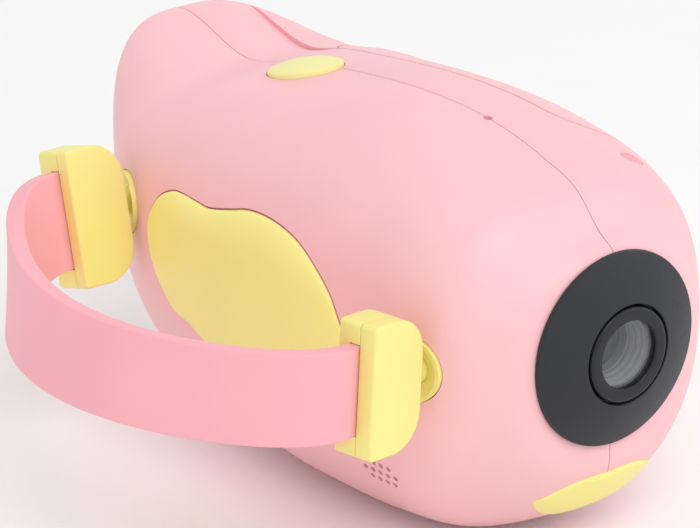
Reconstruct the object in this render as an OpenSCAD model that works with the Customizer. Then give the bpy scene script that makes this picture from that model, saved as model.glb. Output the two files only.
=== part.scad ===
/* [Body] */
// Length of the body from the lens rim back to the tail
body_l = 124; // [116:1:132]
// Half the greatest width of the body
body_half_w = 32.5; // [30:0.5:35]
// Height of the back above the lens axis
body_up = 31.3; // [29.5:0.1:33]
// Depth of the round belly below the lens axis
body_down = 40; // [38:0.5:42]
// Depth by which the belly is flattened into a foot
foot_cut = 1.6; // [1:0.1:2.2]
// Distance from the lens rim back to the middle of the foot
foot_to_rim = 43; // [40:1:46]
// Wall thickness of the shells
wall = 2; // [1.8:0.1:2.2]

/* [Lens] */
// Radius of the black bezel around the lens
bezel_r = 17; // [16.6:0.1:17.1]
// Height of the bezel's edge in front of the rim
bezel_edge = 0.9; // [0.6:0.1:1.2]
// Rise of the bezel's dome
bezel_dome = 4.2; // [3.8:0.1:4.6]
// Width of the bezel's lip on the rim
bezel_lip = 1.5; // [1.2:0.1:1.8]
// Length of the bezel's spigot inside the shells
bezel_spigot = 3.2; // [2.8:0.1:4]
// Radius of the lens ring
ring_r = 8.3; // [7.8:0.1:8.6]
// Height of the lens ring's face in front of the rim
ring_front = 4.3; // [4:0.1:4.6]
// Radius of the clear glass that shows in the ring
glass_r = 5.9; // [5.4:0.1:6.1]
// Thickness of the front glass
glass_t = 1.3; // [1:0.1:1.5]
// Length of the lens barrel behind the front glass
barrel_l = 15; // [13:0.5:18]
// Side of the square sensor board
sensor_side = 20; // [18:0.5:22]

/* [Screen lid] */
// Distance of the lid's front edge behind the lens rim
lid_y = 22; // [21:0.5:24]
// Length of the lid
lid_l = 71; // [68:0.5:73]
// Distance of the lid's top edge from the seam
lid_edge_x = 11.3; // [10.5:0.1:13]
// Depth of the lid's lower edge below the lens axis
lid_low = 24; // [22:0.5:25]
// Radius of the lid's corners
lid_corner_r = 11; // [9:0.5:12]
// Distance of the lid's flat inner face from the seam
lid_in_x = 22; // [21:0.5:23]
// Thickness of the lid's skin along its edge
lid_t = 2.2; // [1.8:0.1:2.4]
// Gap around the lid
lid_gap = 0.4; // [0.3:0.05:0.6]
// Gap behind the closed lid
bay_gap = 1.2; // [1:0.1:1.5]
// Radius of the hinge barrel
barrel_hinge_r = 2.4; // [2.3:0.1:2.6]
// Half the length of the hinge barrel
hinge_half_l = 8; // [6:0.5:8.5]
// Radius of the hinge pin
pin_r = 1; // [0.8:0.1:1.2]
// Width of the picture panel
panel_w = 50; // [46:0.5:51]
// Height of the picture panel
panel_h = 34; // [30:0.5:35]

/* [Hand strap] */
// Width of the strap
strap_w = 18; // [16:0.5:19]
// Thickness of the strap
strap_t = 3.2; // [2.8:0.1:3.4]
// Thickness of the strap's ends in the brackets
strap_tab_t = 2; // [1.8:0.1:2.2]
// Distance from the anchor line to the outermost part of the strap
strap_reach = 43; // [40:0.5:48]
// Distance of the front anchor behind the lens rim
front_anchor_y = 15.3; // [14.5:0.1:16.5]
// Height of the front anchor above the lens axis
front_anchor_z = -0.8; // [-3:0.1:2]
// Distance of the rear anchor behind the lens rim
rear_anchor_y = 96; // [93:0.5:98]
// Height of the rear anchor above the lens axis
rear_anchor_z = 3.2; // [1:0.1:6]
// Radius of the anchor cups
cup_r = 5.6; // [5.2:0.1:6]
// Radius of the ball at the end of each bracket
ball_r = 3; // [2.7:0.1:3.2]
// Depth of the brackets
bracket_w = 12; // [11:0.5:13]
// Height of the brackets
bracket_h = 23; // [22:0.1:25]
// Radius of the brackets' rounded corners
bracket_r = 6.5; // [6:0.1:7.5]
// Thickness of a bracket's back half
bracket_back_t = 4; // [3.8:0.1:4.6]
// Thickness of a bracket's face half
bracket_face_t = 2.2; // [1.8:0.1:2.6]

/* [Photo button] */
// Radius of the photo button
button_r = 6.8; // [6.2:0.1:7.4]
// Height of the button's dome above the body
button_rise = 1.8; // [1.4:0.1:2.2]
// Travel of the photo button
button_travel = 1; // [0.6:0.1:1.2]
// Distance of the photo button behind the lens rim
button_y = 77; // [74:0.5:80]
// Offset of the photo button from the seam towards the strap
button_x = 3.2; // [2.5:0.1:4]

/* [Wing and beak] */
// Length of the wing panel
wing_l = 54; // [48:0.5:56]
// Height of the wing panel
wing_h = 30; // [27:0.5:32]
// Distance of the wing's middle behind the lens rim
wing_y = 58.8; // [57:0.1:60]
// Height of the wing's middle above the lens axis
wing_z = -1.2; // [-2:0.1:0]
// Height of the wing's pillow above the shell
wing_rise = 1.4; // [1:0.1:1.8]
// Height of the beak above the shell
beak_rise = 1.2; // [0.8:0.1:1.6]

/* [Inside] */
// Length of the main circuit board
board_l = 42; // [38:1:44]
// Height of the main circuit board
board_h = 26; // [22:1:28]
// Thickness of the circuit boards
board_t = 1.6; // [1.2:0.1:2]
// Thickness of the battery
battery_t = 9; // [7:0.5:10]
// Radius of the loudspeaker
speaker_r = 7; // [6:0.5:7.5]
// Radius of the function buttons in the screen bay
key_r = 3.6; // [3:0.1:4]
// Travel of the function buttons
key_travel = 0.5; // [0.3:0.1:0.6]
// Radius of the case screws
screw_r = 1; // [0.9:0.1:1.2]

/* [Hidden] */
$fn = 48;

// Stations along the body, as shares: length, width, height above and depth below the lens axis
body_shares = [
    [0, 0.582, 0.549, 0.574],
    [0.029, 0.704, 0.612, 0.714],
    [0.072, 0.848, 0.782, 0.809],
    [0.145, 0.945, 0.897, 0.928],
    [0.246, 0.961, 0.983, 0.993],
    [0.377, 0.986, 1, 1],
    [0.522, 1, 0.948, 0.964],
    [0.667, 0.975, 0.856, 0.887],
    [0.797, 0.87, 0.741, 0.757],
    [0.913, 0.751, 0.908, 0.624],
    [1.014, 0.684, 1.19, 0.516]
];
// Height of the widest line in each section, as a share of the section's half height
widest_shares = [[0, 0.1], [0.435, -0.06], [0.913, 0.35]];
// Shares of the length where the sides and the ends start to close
side_close_share = 0.696;
end_close_share = 0.812;
side_close_power = 2.3;
end_close_power = 3.1;
// Roundness of the sections: at the rim, above and below the widest line
rim_power = 2.1;
upper_power = 2.73;
lower_power = 2.53;
// Roundness above the widest line on the screen side, which is fuller towards the tail
screen_power_shares = [[0.58, 2.73], [0.7, 3.2], [0.8, 4.5], [0.92, 4]];
power_blend_share = 0.145;

axis_h = body_down - foot_cut;
fit_gap = 0.15;
run_gap = 0.05;
touch_gap = 0.02;
clear = 0.35;
seam_ease = 0.15;
over = 1;

function rise(tab, c, i) = (tab[i + 1][c] - tab[i][c]) / (tab[i + 1][0] - tab[i][0]);
function slope(tab, c, i) =
    i == 0 ? 1.5 * rise(tab, c, 0) - 0.5 * slope(tab, c, 1)
    : i == len(tab) - 1 ? 1.5 * rise(tab, c, i - 1) - 0.5 * slope(tab, c, i - 1)
    : let (h0 = tab[i][0] - tab[i - 1][0], h1 = tab[i + 1][0] - tab[i][0])
        (rise(tab, c, i - 1) * h1 + rise(tab, c, i) * h0) / (h0 + h1);
function span_of(tab, t, i = 0) = i >= len(tab) - 2 || t < tab[i + 1][0] ? i : span_of(tab, t, i + 1);
// Smooth curve through a table's column c
function curve(tab, c, t) =
    let (i = span_of(tab, t), h = tab[i + 1][0] - tab[i][0], u = (t - tab[i][0]) / h)
    (2 * u ^ 3 - 3 * u ^ 2 + 1) * tab[i][c] + (u ^ 3 - 2 * u ^ 2 + u) * h * slope(tab, c, i)
    + (3 * u ^ 2 - 2 * u ^ 3) * tab[i + 1][c] + (u ^ 3 - u ^ 2) * h * slope(tab, c, i + 1);
function closing(c, start, power) =
    c <= start ? 1 : max(0, 1 - ((c - start) / (1 - start)) ^ power) ^ (1 / power);
function signed_power(b, e) = sign(b) * abs(b) ^ e;

// Section of the body at y, drawn in by d: half width, top, bottom, widest height, and the powers of its
// upper and lower part and of its upper part on the screen side
function section(y, d = 0) =
    let (
        t = y / body_l,
        c = y / (body_l - d),
        kw = closing(c, side_close_share, side_close_power),
        kh = closing(c, end_close_share, end_close_power),
        top = body_up * curve(body_shares, 2, t),
        low = -body_down * curve(body_shares, 3, t),
        mid = (top + low) / 2,
        blend = min(1, t / power_blend_share)
    )
    [
        (body_half_w * curve(body_shares, 1, t) - d) * kw,
        mid + (top - d - mid) * kh,
        mid + (low + d - mid) * kh,
        mid + (top - low) / 2 * lookup(t, widest_shares) * kh,
        rim_power + (upper_power - rim_power) * blend,
        rim_power + (lower_power - rim_power) * blend,
        rim_power + (lookup(t, screen_power_shares) - rim_power) * blend
    ];
// Point of a section at angle a, with the belly flattened into the foot
function ring_point(s, y, a, d = 0) =
    let (
        up = sin(a) >= 0,
        n = !up ? s[5] : cos(a) > 0 ? s[6] : s[4],
        r = up ? s[1] - s[3] : s[3] - s[2]
    )
    [
        s[0] * signed_power(cos(a), 2 / n),
        y,
        max(s[3] + r * signed_power(sin(a), 2 / n), max(d, 0) - axis_h)
    ];
function skin_point(y, a, d = 0) = ring_point(section(y, d), y, a, d);
// Half width of the body at y and z, and height of its back at x and y
function skin_x(y, z, d = 0) =
    let (
        s = section(y, d),
        up = z >= s[3],
        n = up ? s[4] : s[5],
        q = abs(z - s[3]) / (up ? s[1] - s[3] : s[3] - s[2])
    )
    s[0] * max(0, 1 - q ^ n) ^ (1 / n);
function skin_z(x, y, d = 0) =
    let (s = section(y, d))
    s[3] + (s[1] - s[3]) * max(0, 1 - (abs(x) / s[0]) ^ s[4]) ^ (1 / s[4]);

// Triangles between neighbouring rows of points
function grid_faces(rows, cols, start = 0) = [
    for (i = [0 : rows - 2], j = [0 : cols - 2], k = [0, 1])
        let (a = start + i * cols + j)
        k == 0 ? [a, a + 1, a + cols + 1] : [a, a + cols + 1, a + cols]
];
function halved(quads) = [for (q = quads, k = [0, 1]) k == 0 ? [q[0], q[1], q[2]] : [q[0], q[2], q[3]]];
function joined(rows) = [for (r = rows, p = r) p];
function flipped(faces) = [for (f = faces) [for (i = [len(f) - 1 : -1 : 0]) f[i]]];
function whole(points, faces) = [
    for (f = faces)
        if (points[f[0]] != points[f[1]] && points[f[1]] != points[f[2]] && points[f[2]] != points[f[0]]) f
];

// Shell half from its chain of rows: outer skin from the tail, front opening, inner skin to the tail
module half_shell(chain, mirrored) {
    cols = len(chain[0]);
    last = len(chain) - 1;
    points = joined(chain);
    top = [for (k = [0 : len(chain) / 2 - 2]) [k, k + 1, last - k - 1, last - k] * cols];
    low = [for (q = top) [q[1], q[0], q[3], q[2]] + [1, 1, 1, 1] * (cols - 1)];
    faces = whole(points, concat(grid_faces(len(chain), cols), halved(concat(top, low))));
    polyhedron(points, mirrored ? flipped(faces) : faces, convexity = 10);
}
// Solid between an outer and an inner grid with the same rows and columns
module slab(outer, inner, mirrored = false) {
    rows = len(outer);
    cols = len(outer[0]);
    n = rows * cols;
    points = concat(joined(outer), joined(inner));
    front = [for (j = [0 : cols - 2]) [j, n + j, n + j + 1, j + 1]];
    back = [for (j = [0 : cols - 2]) let (a = n - cols + j) [a, a + 1, n + a + 1, n + a]];
    left = [for (i = [0 : rows - 2]) let (a = i * cols) [a, a + cols, n + a + cols, n + a]];
    right = [for (i = [0 : rows - 2]) let (a = i * cols + cols - 1) [a, n + a, n + a + cols, a + cols]];
    edges = halved(concat(front, back, left, right));
    faces = whole(points, concat(grid_faces(rows, cols), flipped(grid_faces(rows, cols, n)), edges));
    polyhedron(points, mirrored ? flipped(faces) : faces, convexity = 10);
}
// From the lens frame, with its origin at the rim's middle, to the part's frame on the foot
module on_foot() {
    translate([0, -foot_to_rim, axis_h]) children();
}
// Turns a shape drawn upwards so that it points forwards out of the lens
module forwards() {
    rotate([90, 0, 0]) children();
}
module sidewards() {
    rotate([0, 90, 0]) children();
}

// Shells

shell_rows = 30;
half_cols = 18;
opening_r = bezel_r - bezel_lip;

// Moves the ends of an inner row off the seam, so that the shells meet along their outer edge
function eased(row, d, side) = [
    for (j = [0 : len(row) - 1])
        (j == 0 || j == len(row) - 1) && d > 0 ? [side * seam_ease, row[j][1], row[j][2]] : row[j]
];
function opening_row(angles, y, side) =
    eased([for (a = angles) [opening_r * cos(a), y, opening_r * sin(a)]], y, side);
function pole_row(count, y) = let (s = section(y)) [for (j = [1 : count]) [0, y, (s[1] + s[2]) / 2]];

function strap_angles() = [for (j = [0 : half_cols]) 90 + 180 * j / half_cols];
function strap_row(i, d) =
    let (y = d + (body_l - 2 * d) * (1 - cos(180 * i / shell_rows)) / 2)
    i == shell_rows
    ? pole_row(half_cols + 1, y)
    : eased([for (a = strap_angles()) skin_point(y, a, d)], d, -1);
strap_chain = concat(
    [for (i = [shell_rows : -1 : 0]) strap_row(i, 0)],
    [opening_row(strap_angles(), 0, -1), opening_row(strap_angles(), wall, -1)],
    [for (i = [0 : shell_rows]) strap_row(i, wall)]
);

// Edges of the screen bay, moved outwards by g
function bay_front(g) = lid_y - lid_gap - g;
function bay_rear(g) = lid_y + lid_l + 1.5 * lid_gap + g;
function rounded(distance, r) = distance >= r ? 0 : r - sqrt(r ^ 2 - (r - max(distance, 0)) ^ 2);
function edge_step(y, g) = rounded(min(y - bay_front(g), bay_rear(g) - y), lid_corner_r + g);
function top_angle(y, g, d) =
    let (s = section(y, d)) acos(min(1, (lid_edge_x - g + edge_step(y, g)) / s[0]) ^ (s[6] / 2));
function low_angle(y, g, d) =
    let (s = section(y, d), drop = s[3] + lid_low + g - edge_step(y, g))
    -asin(min(1, drop / (s[3] - s[2])) ^ (s[5] / 2));

top_cols = 4;
bay_cols = 12;
belly_cols = 6;
front_rows = 8;
bay_rows = 16;
rear_rows = 9;
// Columns of the screen side: which band and how far across it
screen_cols = concat(
    [for (j = [0 : top_cols]) [0, j / top_cols]],
    [for (j = [0 : bay_cols]) [1, j / bay_cols]],
    [for (j = [0 : belly_cols]) [2, j / belly_cols]]
);
function screen_angles(y, g, d) =
    let (
        inside_y = min(max(y, bay_front(g)), bay_rear(g)),
        a = top_angle(inside_y, g, d),
        b = low_angle(inside_y, g, d),
        edges = [90, a, b, -90]
    )
    [for (c = screen_cols) edges[c[0]] * (1 - c[1]) + edges[c[0] + 1] * c[1]];
// Floor of the bay at depth d below the skin, no further out than the plane x = limit
function floor_point(y, a, d, limit) = let (p = skin_point(y, a, d)) [min(p[0], limit), p[1], p[2]];
function screen_row(y, inside, g, d) =
    let (angles = screen_angles(y, g, d))
    eased([
        for (j = [0 : len(screen_cols) - 1])
            inside && screen_cols[j][0] == 1
            ? floor_point(y, angles[j], lid_t + bay_gap + d, lid_in_x - bay_gap - d)
            : skin_point(y, angles[j], d)
    ], d, 1);
function screen_rows(d) =
    let (
        y0 = bay_front(d),
        y1 = bay_rear(d),
        end = body_l - d,
        front = [for (i = [0 : front_rows]) d + (y0 - d) * (1 - cos(90 * i / front_rows))],
        middle = [for (i = [0 : bay_rows]) y0 + (y1 - y0) * (1 - cos(180 * i / bay_rows)) / 2],
        rear = [for (i = [0 : rear_rows - 1]) y1 + (end - y1) * sin(90 * i / rear_rows)]
    )
    concat(
        [for (y = front) screen_row(y, false, d, d)],
        [for (y = middle) screen_row(y, true, d, d)],
        [for (y = rear) screen_row(y, false, d, d)],
        [pole_row(len(screen_cols), end)]
    );
function reversed(list) = [for (i = [len(list) - 1 : -1 : 0]) list[i]];
screen_chain = concat(
    reversed(screen_rows(0)),
    [opening_row(screen_angles(0, 0, 0), 0, 1), opening_row(screen_angles(0, 0, 0), wall, 1)],
    screen_rows(wall)
);

// Screws that hold the two shells together, as shares of the lid's length and of the body's height
screw_shares = [[0.14, 0.52], [0.87, 0.3], [0.5, -0.64]];
screw_head_r = 2 * screw_r;
screw_head_t = 1.2 * screw_r;
screw_l = 18 * screw_r;
boss_r = screw_head_r + 0.8 * wall;
boss_gap = 0.2;
well_r = screw_head_r + fit_gap;
seat_x = body_half_w / 4;
bay_floor_x = lid_in_x - bay_gap;
function screw_y(i) = lid_y + screw_shares[i][0] * lid_l;
function screw_z(i) = body_up * screw_shares[i][1];
// Depth of the wall's middle behind a round post at y and z
function post_x(y, z, r) = skin_x(y, z + sign(z) * r) - wall / 2;
module at_screw(i) {
    translate([0, screw_y(i), screw_z(i)]) sidewards() children();
}

// Hinge of the lid: its axis stands upright on the skin, in front of the lid's edge
lug_r = 2 * pin_r;
hinge_y = lid_y - lug_r - lid_gap;
hinge_x = skin_x(hinge_y, 0);
lug_l = 4.5 * pin_r;
hinge_room_r = 1.28 * barrel_hinge_r;
hinge_room_half_l = hinge_half_l + clear;
pin_l = 2 * (hinge_room_half_l + lug_l);
module on_hinge() {
    translate([hinge_x, hinge_y, 0]) children();
}

// Photo button: its axis leans with the back of the body, tipped a little further
button_tip = 3;
button_lean = atan2(
    skin_z(button_x, button_y + button_r) - skin_z(button_x, button_y - button_r), 2 * button_r
) - button_tip;
button_edge = 0.5;
button_cap_l = 3.6;
flange_t = 1.2;
flange_w = 1.3;
flange_r = button_r + flange_w;
stem_r = 2;
stem_l = 0.5;
switch_side = 6;
switch_h = 3.2;
plunger_r = 1.6;
switch_board_z = button_cap_l + flange_t + stem_l + button_travel + clear + switch_h;
switch_board_w = 12;
post_r = 1.8;
post_y = flange_r + post_r + fit_gap + clear;
module on_button() {
    translate([-button_x, button_y, skin_z(button_x, button_y)]) rotate([button_lean, 0, 0]) children();
}

// Strap anchors: a cup set square to the flank, with the ball's middle below the skin
anchor_sink = 1.8;
arm_l = 3.8;
cup_l = 6;
cup_proud = 0.5;
cup_lip = 1.2;
cup_mouth_r = 0.87 * cup_r;
arm_r = 0.53 * ball_r;
ball_steps = 12;
corner_steps = 8;
bracket_edge_r = 0.5 * bracket_face_t;
bracket_in = anchor_sink + arm_l;
bracket_out = bracket_in + bracket_w;
tab_in = bracket_in + bracket_w / 3;
halves_y = arm_r + 0.1 * ball_r;
strap_y = halves_y - fit_gap / 2 - strap_tab_t / 2;
// Turn of each bracket about the upright, its tilt upwards and its lean about its own arm
front_turn = 189;
rear_turn = 184;
front_tilt = 5;
rear_tilt = 3;
front_lean = 1;
rear_lean = 16;
function anchor_yaw(y, z) = 180 + atan2(skin_x(y - cup_r, z) - skin_x(y + cup_r, z), -2 * cup_r) + 180;
front_yaw = anchor_yaw(front_anchor_y, front_anchor_z);
rear_yaw = anchor_yaw(rear_anchor_y, rear_anchor_z);
function out_of(yaw, tilt = 0) = [cos(yaw) * cos(tilt), sin(yaw) * cos(tilt), sin(tilt)];
function forward_of(yaw) = [-sin(yaw), cos(yaw), 0];
function anchor(y, z, yaw) = [-skin_x(y, z), y, z] - anchor_sink * out_of(yaw);
front_ball = anchor(front_anchor_y, front_anchor_z, front_yaw);
rear_ball = anchor(rear_anchor_y, rear_anchor_z, rear_yaw);
module at_front_anchor() {
    translate(front_ball) rotate([0, 0, front_yaw]) children();
}
module at_rear_anchor() {
    translate(rear_ball) rotate([0, 0, rear_yaw]) children();
}
module on_front_ball() {
    translate(front_ball) rotate([front_lean, -front_tilt, front_turn]) children();
}
module on_rear_ball() {
    translate(rear_ball) rotate([rear_lean, -rear_tilt, rear_turn]) children();
}
module cup_hole() {
    translate([anchor_sink - cup_l - over, 0, 0]) sidewards()
        cylinder(r = cup_r + fit_gap, h = cup_l + 3 * over);
}

// Loudspeaker behind its holes, square to the lower flank
speaker_y = 26;
speaker_z = -24;
speaker_tilt = 26;
speaker_t = 3;
speaker_gap = 1.2;
speaker_depth = wall + speaker_gap;
speaker_hole_r = 0.55;
speaker_pitch = 1.85;
speaker_rows = [4, 5, 4];
module on_speaker() {
    translate([-skin_x(speaker_y, speaker_z), speaker_y, speaker_z])
        rotate([0, -90 - speaker_tilt, 0]) children();
}
module speaker_holes() {
    for (i = [0 : len(speaker_rows) - 1], j = [0 : speaker_rows[i] - 1])
        translate([(1 - i) * speaker_pitch, (j - (speaker_rows[i] - 1) / 2) * speaker_pitch, -2 * wall])
            cylinder(r = speaker_hole_r, h = 3 * wall, $fn = 16);
}

// Wing pegs, as shares of the wing's length from its middle
peg_shares = [-0.2, 0.22];
peg_r = 1.5;
peg_l = 1.8 * wall;
module at_pegs() {
    for (s = peg_shares)
        let (y = wing_y + s * wing_l)
        translate([-skin_x(y, wing_z), y, wing_z]) sidewards() children();
}

// Main board on four posts, as shares of its length and height from its middle
board_x = -8;
board_z = -1;
board_post_r = 2.2;
board_post_shares = [[-0.38, 0.36], [0.38, 0.36], [-0.38, -0.36], [0.38, -0.36]];
battery_share = 0.84;

// Microphone under its hole in the seam
mic_y = 32;
mic_r = 2.8;
mic_t = 2;
mic_gap = 0.5;
mic_hole_r = 0.8;
module at_microphone() {
    translate([0, mic_y, skin_z(0, mic_y)]) children();
}

// Function buttons in the floor of the screen bay, as shares of the lid's length
key_shares = [0.32, 0.5, 0.68];
key_post_shares = [0.2, 0.8];
key_z = -6;
key_proud = 0.5;
key_flange_t = 1;
key_flange_w = 1;
key_flange_r = key_r + key_flange_w;
key_rest_gap = 0.25;
key_back = wall + key_rest_gap + key_flange_t;
key_switch_r = 2;
key_switch_h = 2;
key_board_z = key_back + key_travel + clear + key_switch_h;
key_post_r = 1.8;
key_board_h = 12;
module at_key(share) {
    translate([bay_floor_x, lid_y + share * lid_l, key_z]) sidewards() children();
}

module strap_side_body() {
    difference() {
        union() {
            half_shell(strap_chain, true);
            for (i = [0 : 2])
                let (l = post_x(screw_y(i), screw_z(i), boss_r))
                at_screw(i) translate([0, 0, -l]) cylinder(r = boss_r, h = l - boss_gap);
            for (s = board_post_shares)
                let (
                    y = wing_y + s[0] * board_l,
                    z = board_z + s[1] * board_h,
                    l = post_x(y, z, board_post_r) + board_x - board_t
                )
                translate([board_x - board_t - l, y, z]) sidewards() cylinder(r = board_post_r, h = l);
            on_button() for (s = [-1, 1])
                translate([0, s * post_y, -switch_board_z])
                    cylinder(r = post_r, h = switch_board_z - wall / 2);
        }
        for (i = [0 : 2])
            at_screw(i) translate([0, 0, seat_x - screw_l - over])
                cylinder(r = screw_r + touch_gap, h = screw_l);
        on_button() translate([0, 0, -2 * wall]) cylinder(r = button_r + fit_gap, h = 4 * wall);
        at_microphone() translate([0, 0, -2 * wall]) cylinder(r = mic_hole_r, h = 3 * wall);
    }
}
module strap_side_shell() {
    color("pink") on_foot() difference() {
        strap_side_body();
        at_front_anchor() cup_hole();
        at_rear_anchor() cup_hole();
        on_speaker() speaker_holes();
        at_pegs() translate([0, 0, -over]) cylinder(r = peg_r + fit_gap, h = 2 * wall + over);
    }
}
module screen_side_shell() {
    color("pink") on_foot() difference() {
        union() {
            half_shell(screen_chain, false);
            for (i = [0 : 2])
                at_screw(i) translate([0, 0, boss_gap])
                    cylinder(r = boss_r, h = bay_floor_x - wall / 2 - boss_gap);
            on_hinge() for (s = [-1, 1])
                translate([0, 0, s * (hinge_room_half_l + lug_l / 2)])
                    cylinder(r = lug_r, h = lug_l, center = true);
            for (s = key_post_shares)
                at_key(s) translate([0, 0, -key_board_z])
                    cylinder(r = key_post_r, h = key_board_z - wall / 2);
        }
        on_hinge() cylinder(r = hinge_room_r, h = 2 * hinge_room_half_l, center = true);
        on_hinge() cylinder(r = pin_r + touch_gap, h = pin_l + 2 * over, center = true);
        for (i = [0 : 2]) {
            at_screw(i) translate([0, 0, -over]) cylinder(r = screw_r + fit_gap, h = seat_x + 2 * over);
            at_screw(i) translate([0, 0, seat_x]) cylinder(r = well_r, h = lid_in_x);
        }
        on_button() translate([0, 0, -2 * wall]) cylinder(r = button_r + fit_gap, h = 4 * wall);
        for (s = key_shares)
            at_key(s) translate([0, 0, -2 * wall]) cylinder(r = key_r + fit_gap, h = 3 * wall);
        at_microphone() translate([0, 0, -2 * wall]) cylinder(r = mic_hole_r, h = 3 * wall);
    }
}

// Lens

groove_w = 0.9;
groove_r = ring_r + groove_w;
groove_z = 1.2;
seat_step = 0.6;
lip_depth = 1.6;
lip_z = ring_front - lip_depth;
glass_seat_r = glass_r + seat_step;
ring_flange = 1.2;
dome_steps = 10;
module lens_bezel() {
    color("dimgray") on_foot() forwards() rotate_extrude($fn = 96) polygon(concat(
        [
            [ring_r + fit_gap, groove_z],
            [ring_r + fit_gap, -bezel_spigot],
            [opening_r - fit_gap, -bezel_spigot],
            [opening_r - fit_gap, 0],
            [bezel_r, 0]
        ],
        [
            for (i = [0 : dome_steps])
                let (r = bezel_r + (groove_r - bezel_r) * i / dome_steps)
                [r, bezel_edge + bezel_dome * (1 - (r / bezel_r) ^ 2)]
        ],
        [[groove_r, groove_z]]
    ));
}
module lens_ring() {
    color("black") on_foot() forwards() rotate_extrude($fn = 96) polygon([
        [glass_seat_r, -bezel_spigot - ring_flange],
        [ring_r + ring_flange, -bezel_spigot - ring_flange],
        [ring_r + ring_flange, -bezel_spigot],
        [ring_r, -bezel_spigot],
        [ring_r, ring_front - seat_step],
        [ring_r - seat_step, ring_front],
        [glass_seat_r, ring_front],
        [glass_r, lip_z + seat_step],
        [glass_r, lip_z],
        [glass_seat_r, lip_z]
    ]);
}
glass_bulge = 0.6;
glass_steps = 6;
module front_glass() {
    r = glass_r - fit_gap;
    color("gray") on_foot() forwards() rotate_extrude($fn = 96) polygon(concat(
        [[0, lip_z - glass_t], [glass_seat_r - fit_gap, lip_z - glass_t], [glass_seat_r - fit_gap, lip_z]],
        [
            for (i = [0 : glass_steps])
                let (u = 1 - i / glass_steps)
                [r * u, lip_z + glass_bulge * (1 - u ^ 2)]
        ]
    ));
}
barrel_r = glass_seat_r - fit_gap;
barrel_front = lip_z - glass_t;
barrel_back = barrel_front - barrel_l;
barrel_flange_t = 1.2;
barrel_flange_w = 1.8;
barrel_wall = 1.4;
stop_w = 1.2;
barrel_flange_r = barrel_r + barrel_flange_w;
objective_r = barrel_r - barrel_wall;
stop_r = objective_r - stop_w;
stop_z = barrel_front - 0.45 * barrel_l;
module lens_barrel() {
    color("black") on_foot() forwards() rotate_extrude() polygon([
        [objective_r, barrel_front],
        [barrel_r, barrel_front],
        [barrel_r, barrel_back + barrel_flange_t],
        [barrel_flange_r, barrel_back + barrel_flange_t],
        [barrel_flange_r, barrel_back],
        [stop_r, barrel_back],
        [stop_r, stop_z],
        [objective_r, stop_z]
    ]);
}
objective_t = 1.6;
objective_bulge = 0.9;
module objective_lens() {
    r = objective_r - run_gap;
    b = stop_r - fit_gap;
    color("lightblue") on_foot() forwards() rotate_extrude() polygon(concat(
        [
            for (i = [0 : glass_steps])
                let (u = i / glass_steps)
                [b * u, stop_z - objective_bulge * (1 - u ^ 2)]
        ],
        [[r, stop_z]],
        [
            for (i = [0 : glass_steps])
                let (u = 1 - i / glass_steps)
                [r * u, stop_z + objective_t + objective_bulge * (1 - u ^ 2)]
        ]
    ));
}
chip_w = 4.8;
chip_h = 3.6;
chip_t = 1;
module sensor_board() {
    color("green") on_foot() forwards() union() {
        translate([-sensor_side / 2, -sensor_side / 2, barrel_back - board_t])
            cube([sensor_side, sensor_side, board_t]);
        translate([-chip_w / 2, -chip_h / 2, barrel_back - board_t / 2])
            cube([chip_w, chip_h, board_t / 2 + chip_t]);
    }
}

// Trim

// Height of a pillow at share u of the way to its edge, where the given share is left
function pillow(u, edge_share) = edge_share + (1 - edge_share) * sqrt(1 - u ^ 4);
// Round pad between an outer and an inner grid whose first row is its middle
module pad(outer, inner, mirrored = false) {
    rows = len(outer);
    cols = len(outer[0]);
    n = rows * cols;
    points = concat([outer[0][0]], joined([for (i = [1 : rows - 1]) outer[i]]),
        [inner[0][0]], joined([for (i = [1 : rows - 1]) inner[i]]));
    half = 1 + (rows - 1) * cols;
    caps = [for (s = [0, half]) [for (j = [0 : cols - 1]) [s, s + 1 + j, s + 1 + (j + 1) % cols]]];
    sides = [
        for (s = [0, half]) [
            for (i = [0 : rows - 3], j = [0 : cols - 1], k = [0, 1])
                let (a = s + 1 + i * cols + j, b = s + 1 + i * cols + (j + 1) % cols)
                k == 0 ? [a, a + cols, b + cols] : [a, b + cols, b]
        ]
    ];
    rim = [
        for (j = [0 : cols - 1], k = [0, 1])
            let (a = half - cols + j, b = half - cols + (j + 1) % cols)
            k == 0 ? [a, half + a, half + b] : [a, half + b, b]
    ];
    faces = concat(caps[0], sides[0], flipped(caps[1]), flipped(sides[1]), rim);
    polyhedron(points, mirrored ? flipped(faces) : faces, convexity = 6);
}

// Outline of the wing, as shares of its half length and half height
wing_shares = [
    [-0.147, 1], [0.01, 0.982], [0.14, 0.916], [0.347, 0.826], [0.483, 0.832], [0.637, 0.844],
    [0.753, 0.814], [0.877, 0.682], [0.973, 0.435], [1, 0.195], [0.953, -0.117], [0.83, -0.411],
    [0.69, -0.616], [0.52, -0.682], [0.433, -0.76], [0.153, -0.952], [-0.18, -1], [-0.447, -0.94],
    [-0.68, -0.73], [-0.88, -0.43], [-0.993, -0.13], [-1, 0.051], [-0.957, 0.213], [-0.853, 0.483],
    [-0.7, 0.706], [-0.517, 0.886], [-0.337, 0.97]
];
wing_ring_shares = [0, 0.3, 0.55, 0.75, 0.88, 0.96, 1];
wing_edge_share = 0.35;
function wing_grid(raised) = [
    for (u = wing_ring_shares) [
        for (s = wing_shares)
            let (
                y = wing_y + u * s[0] * wing_l / 2,
                z = wing_z + u * s[1] * wing_h / 2,
                h = raised ? wing_rise * pillow(u, wing_edge_share) : fit_gap / 2
            )
            [-skin_x(y, z) - h, y, z]
    ]
];
module wing_panel() {
    color("gold") on_foot() union() {
        pad(wing_grid(true), wing_grid(false), true);
        at_pegs() translate([0, 0, -wing_rise / 2]) cylinder(r = peg_r, h = wing_rise / 2 + peg_l);
    }
}

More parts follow.
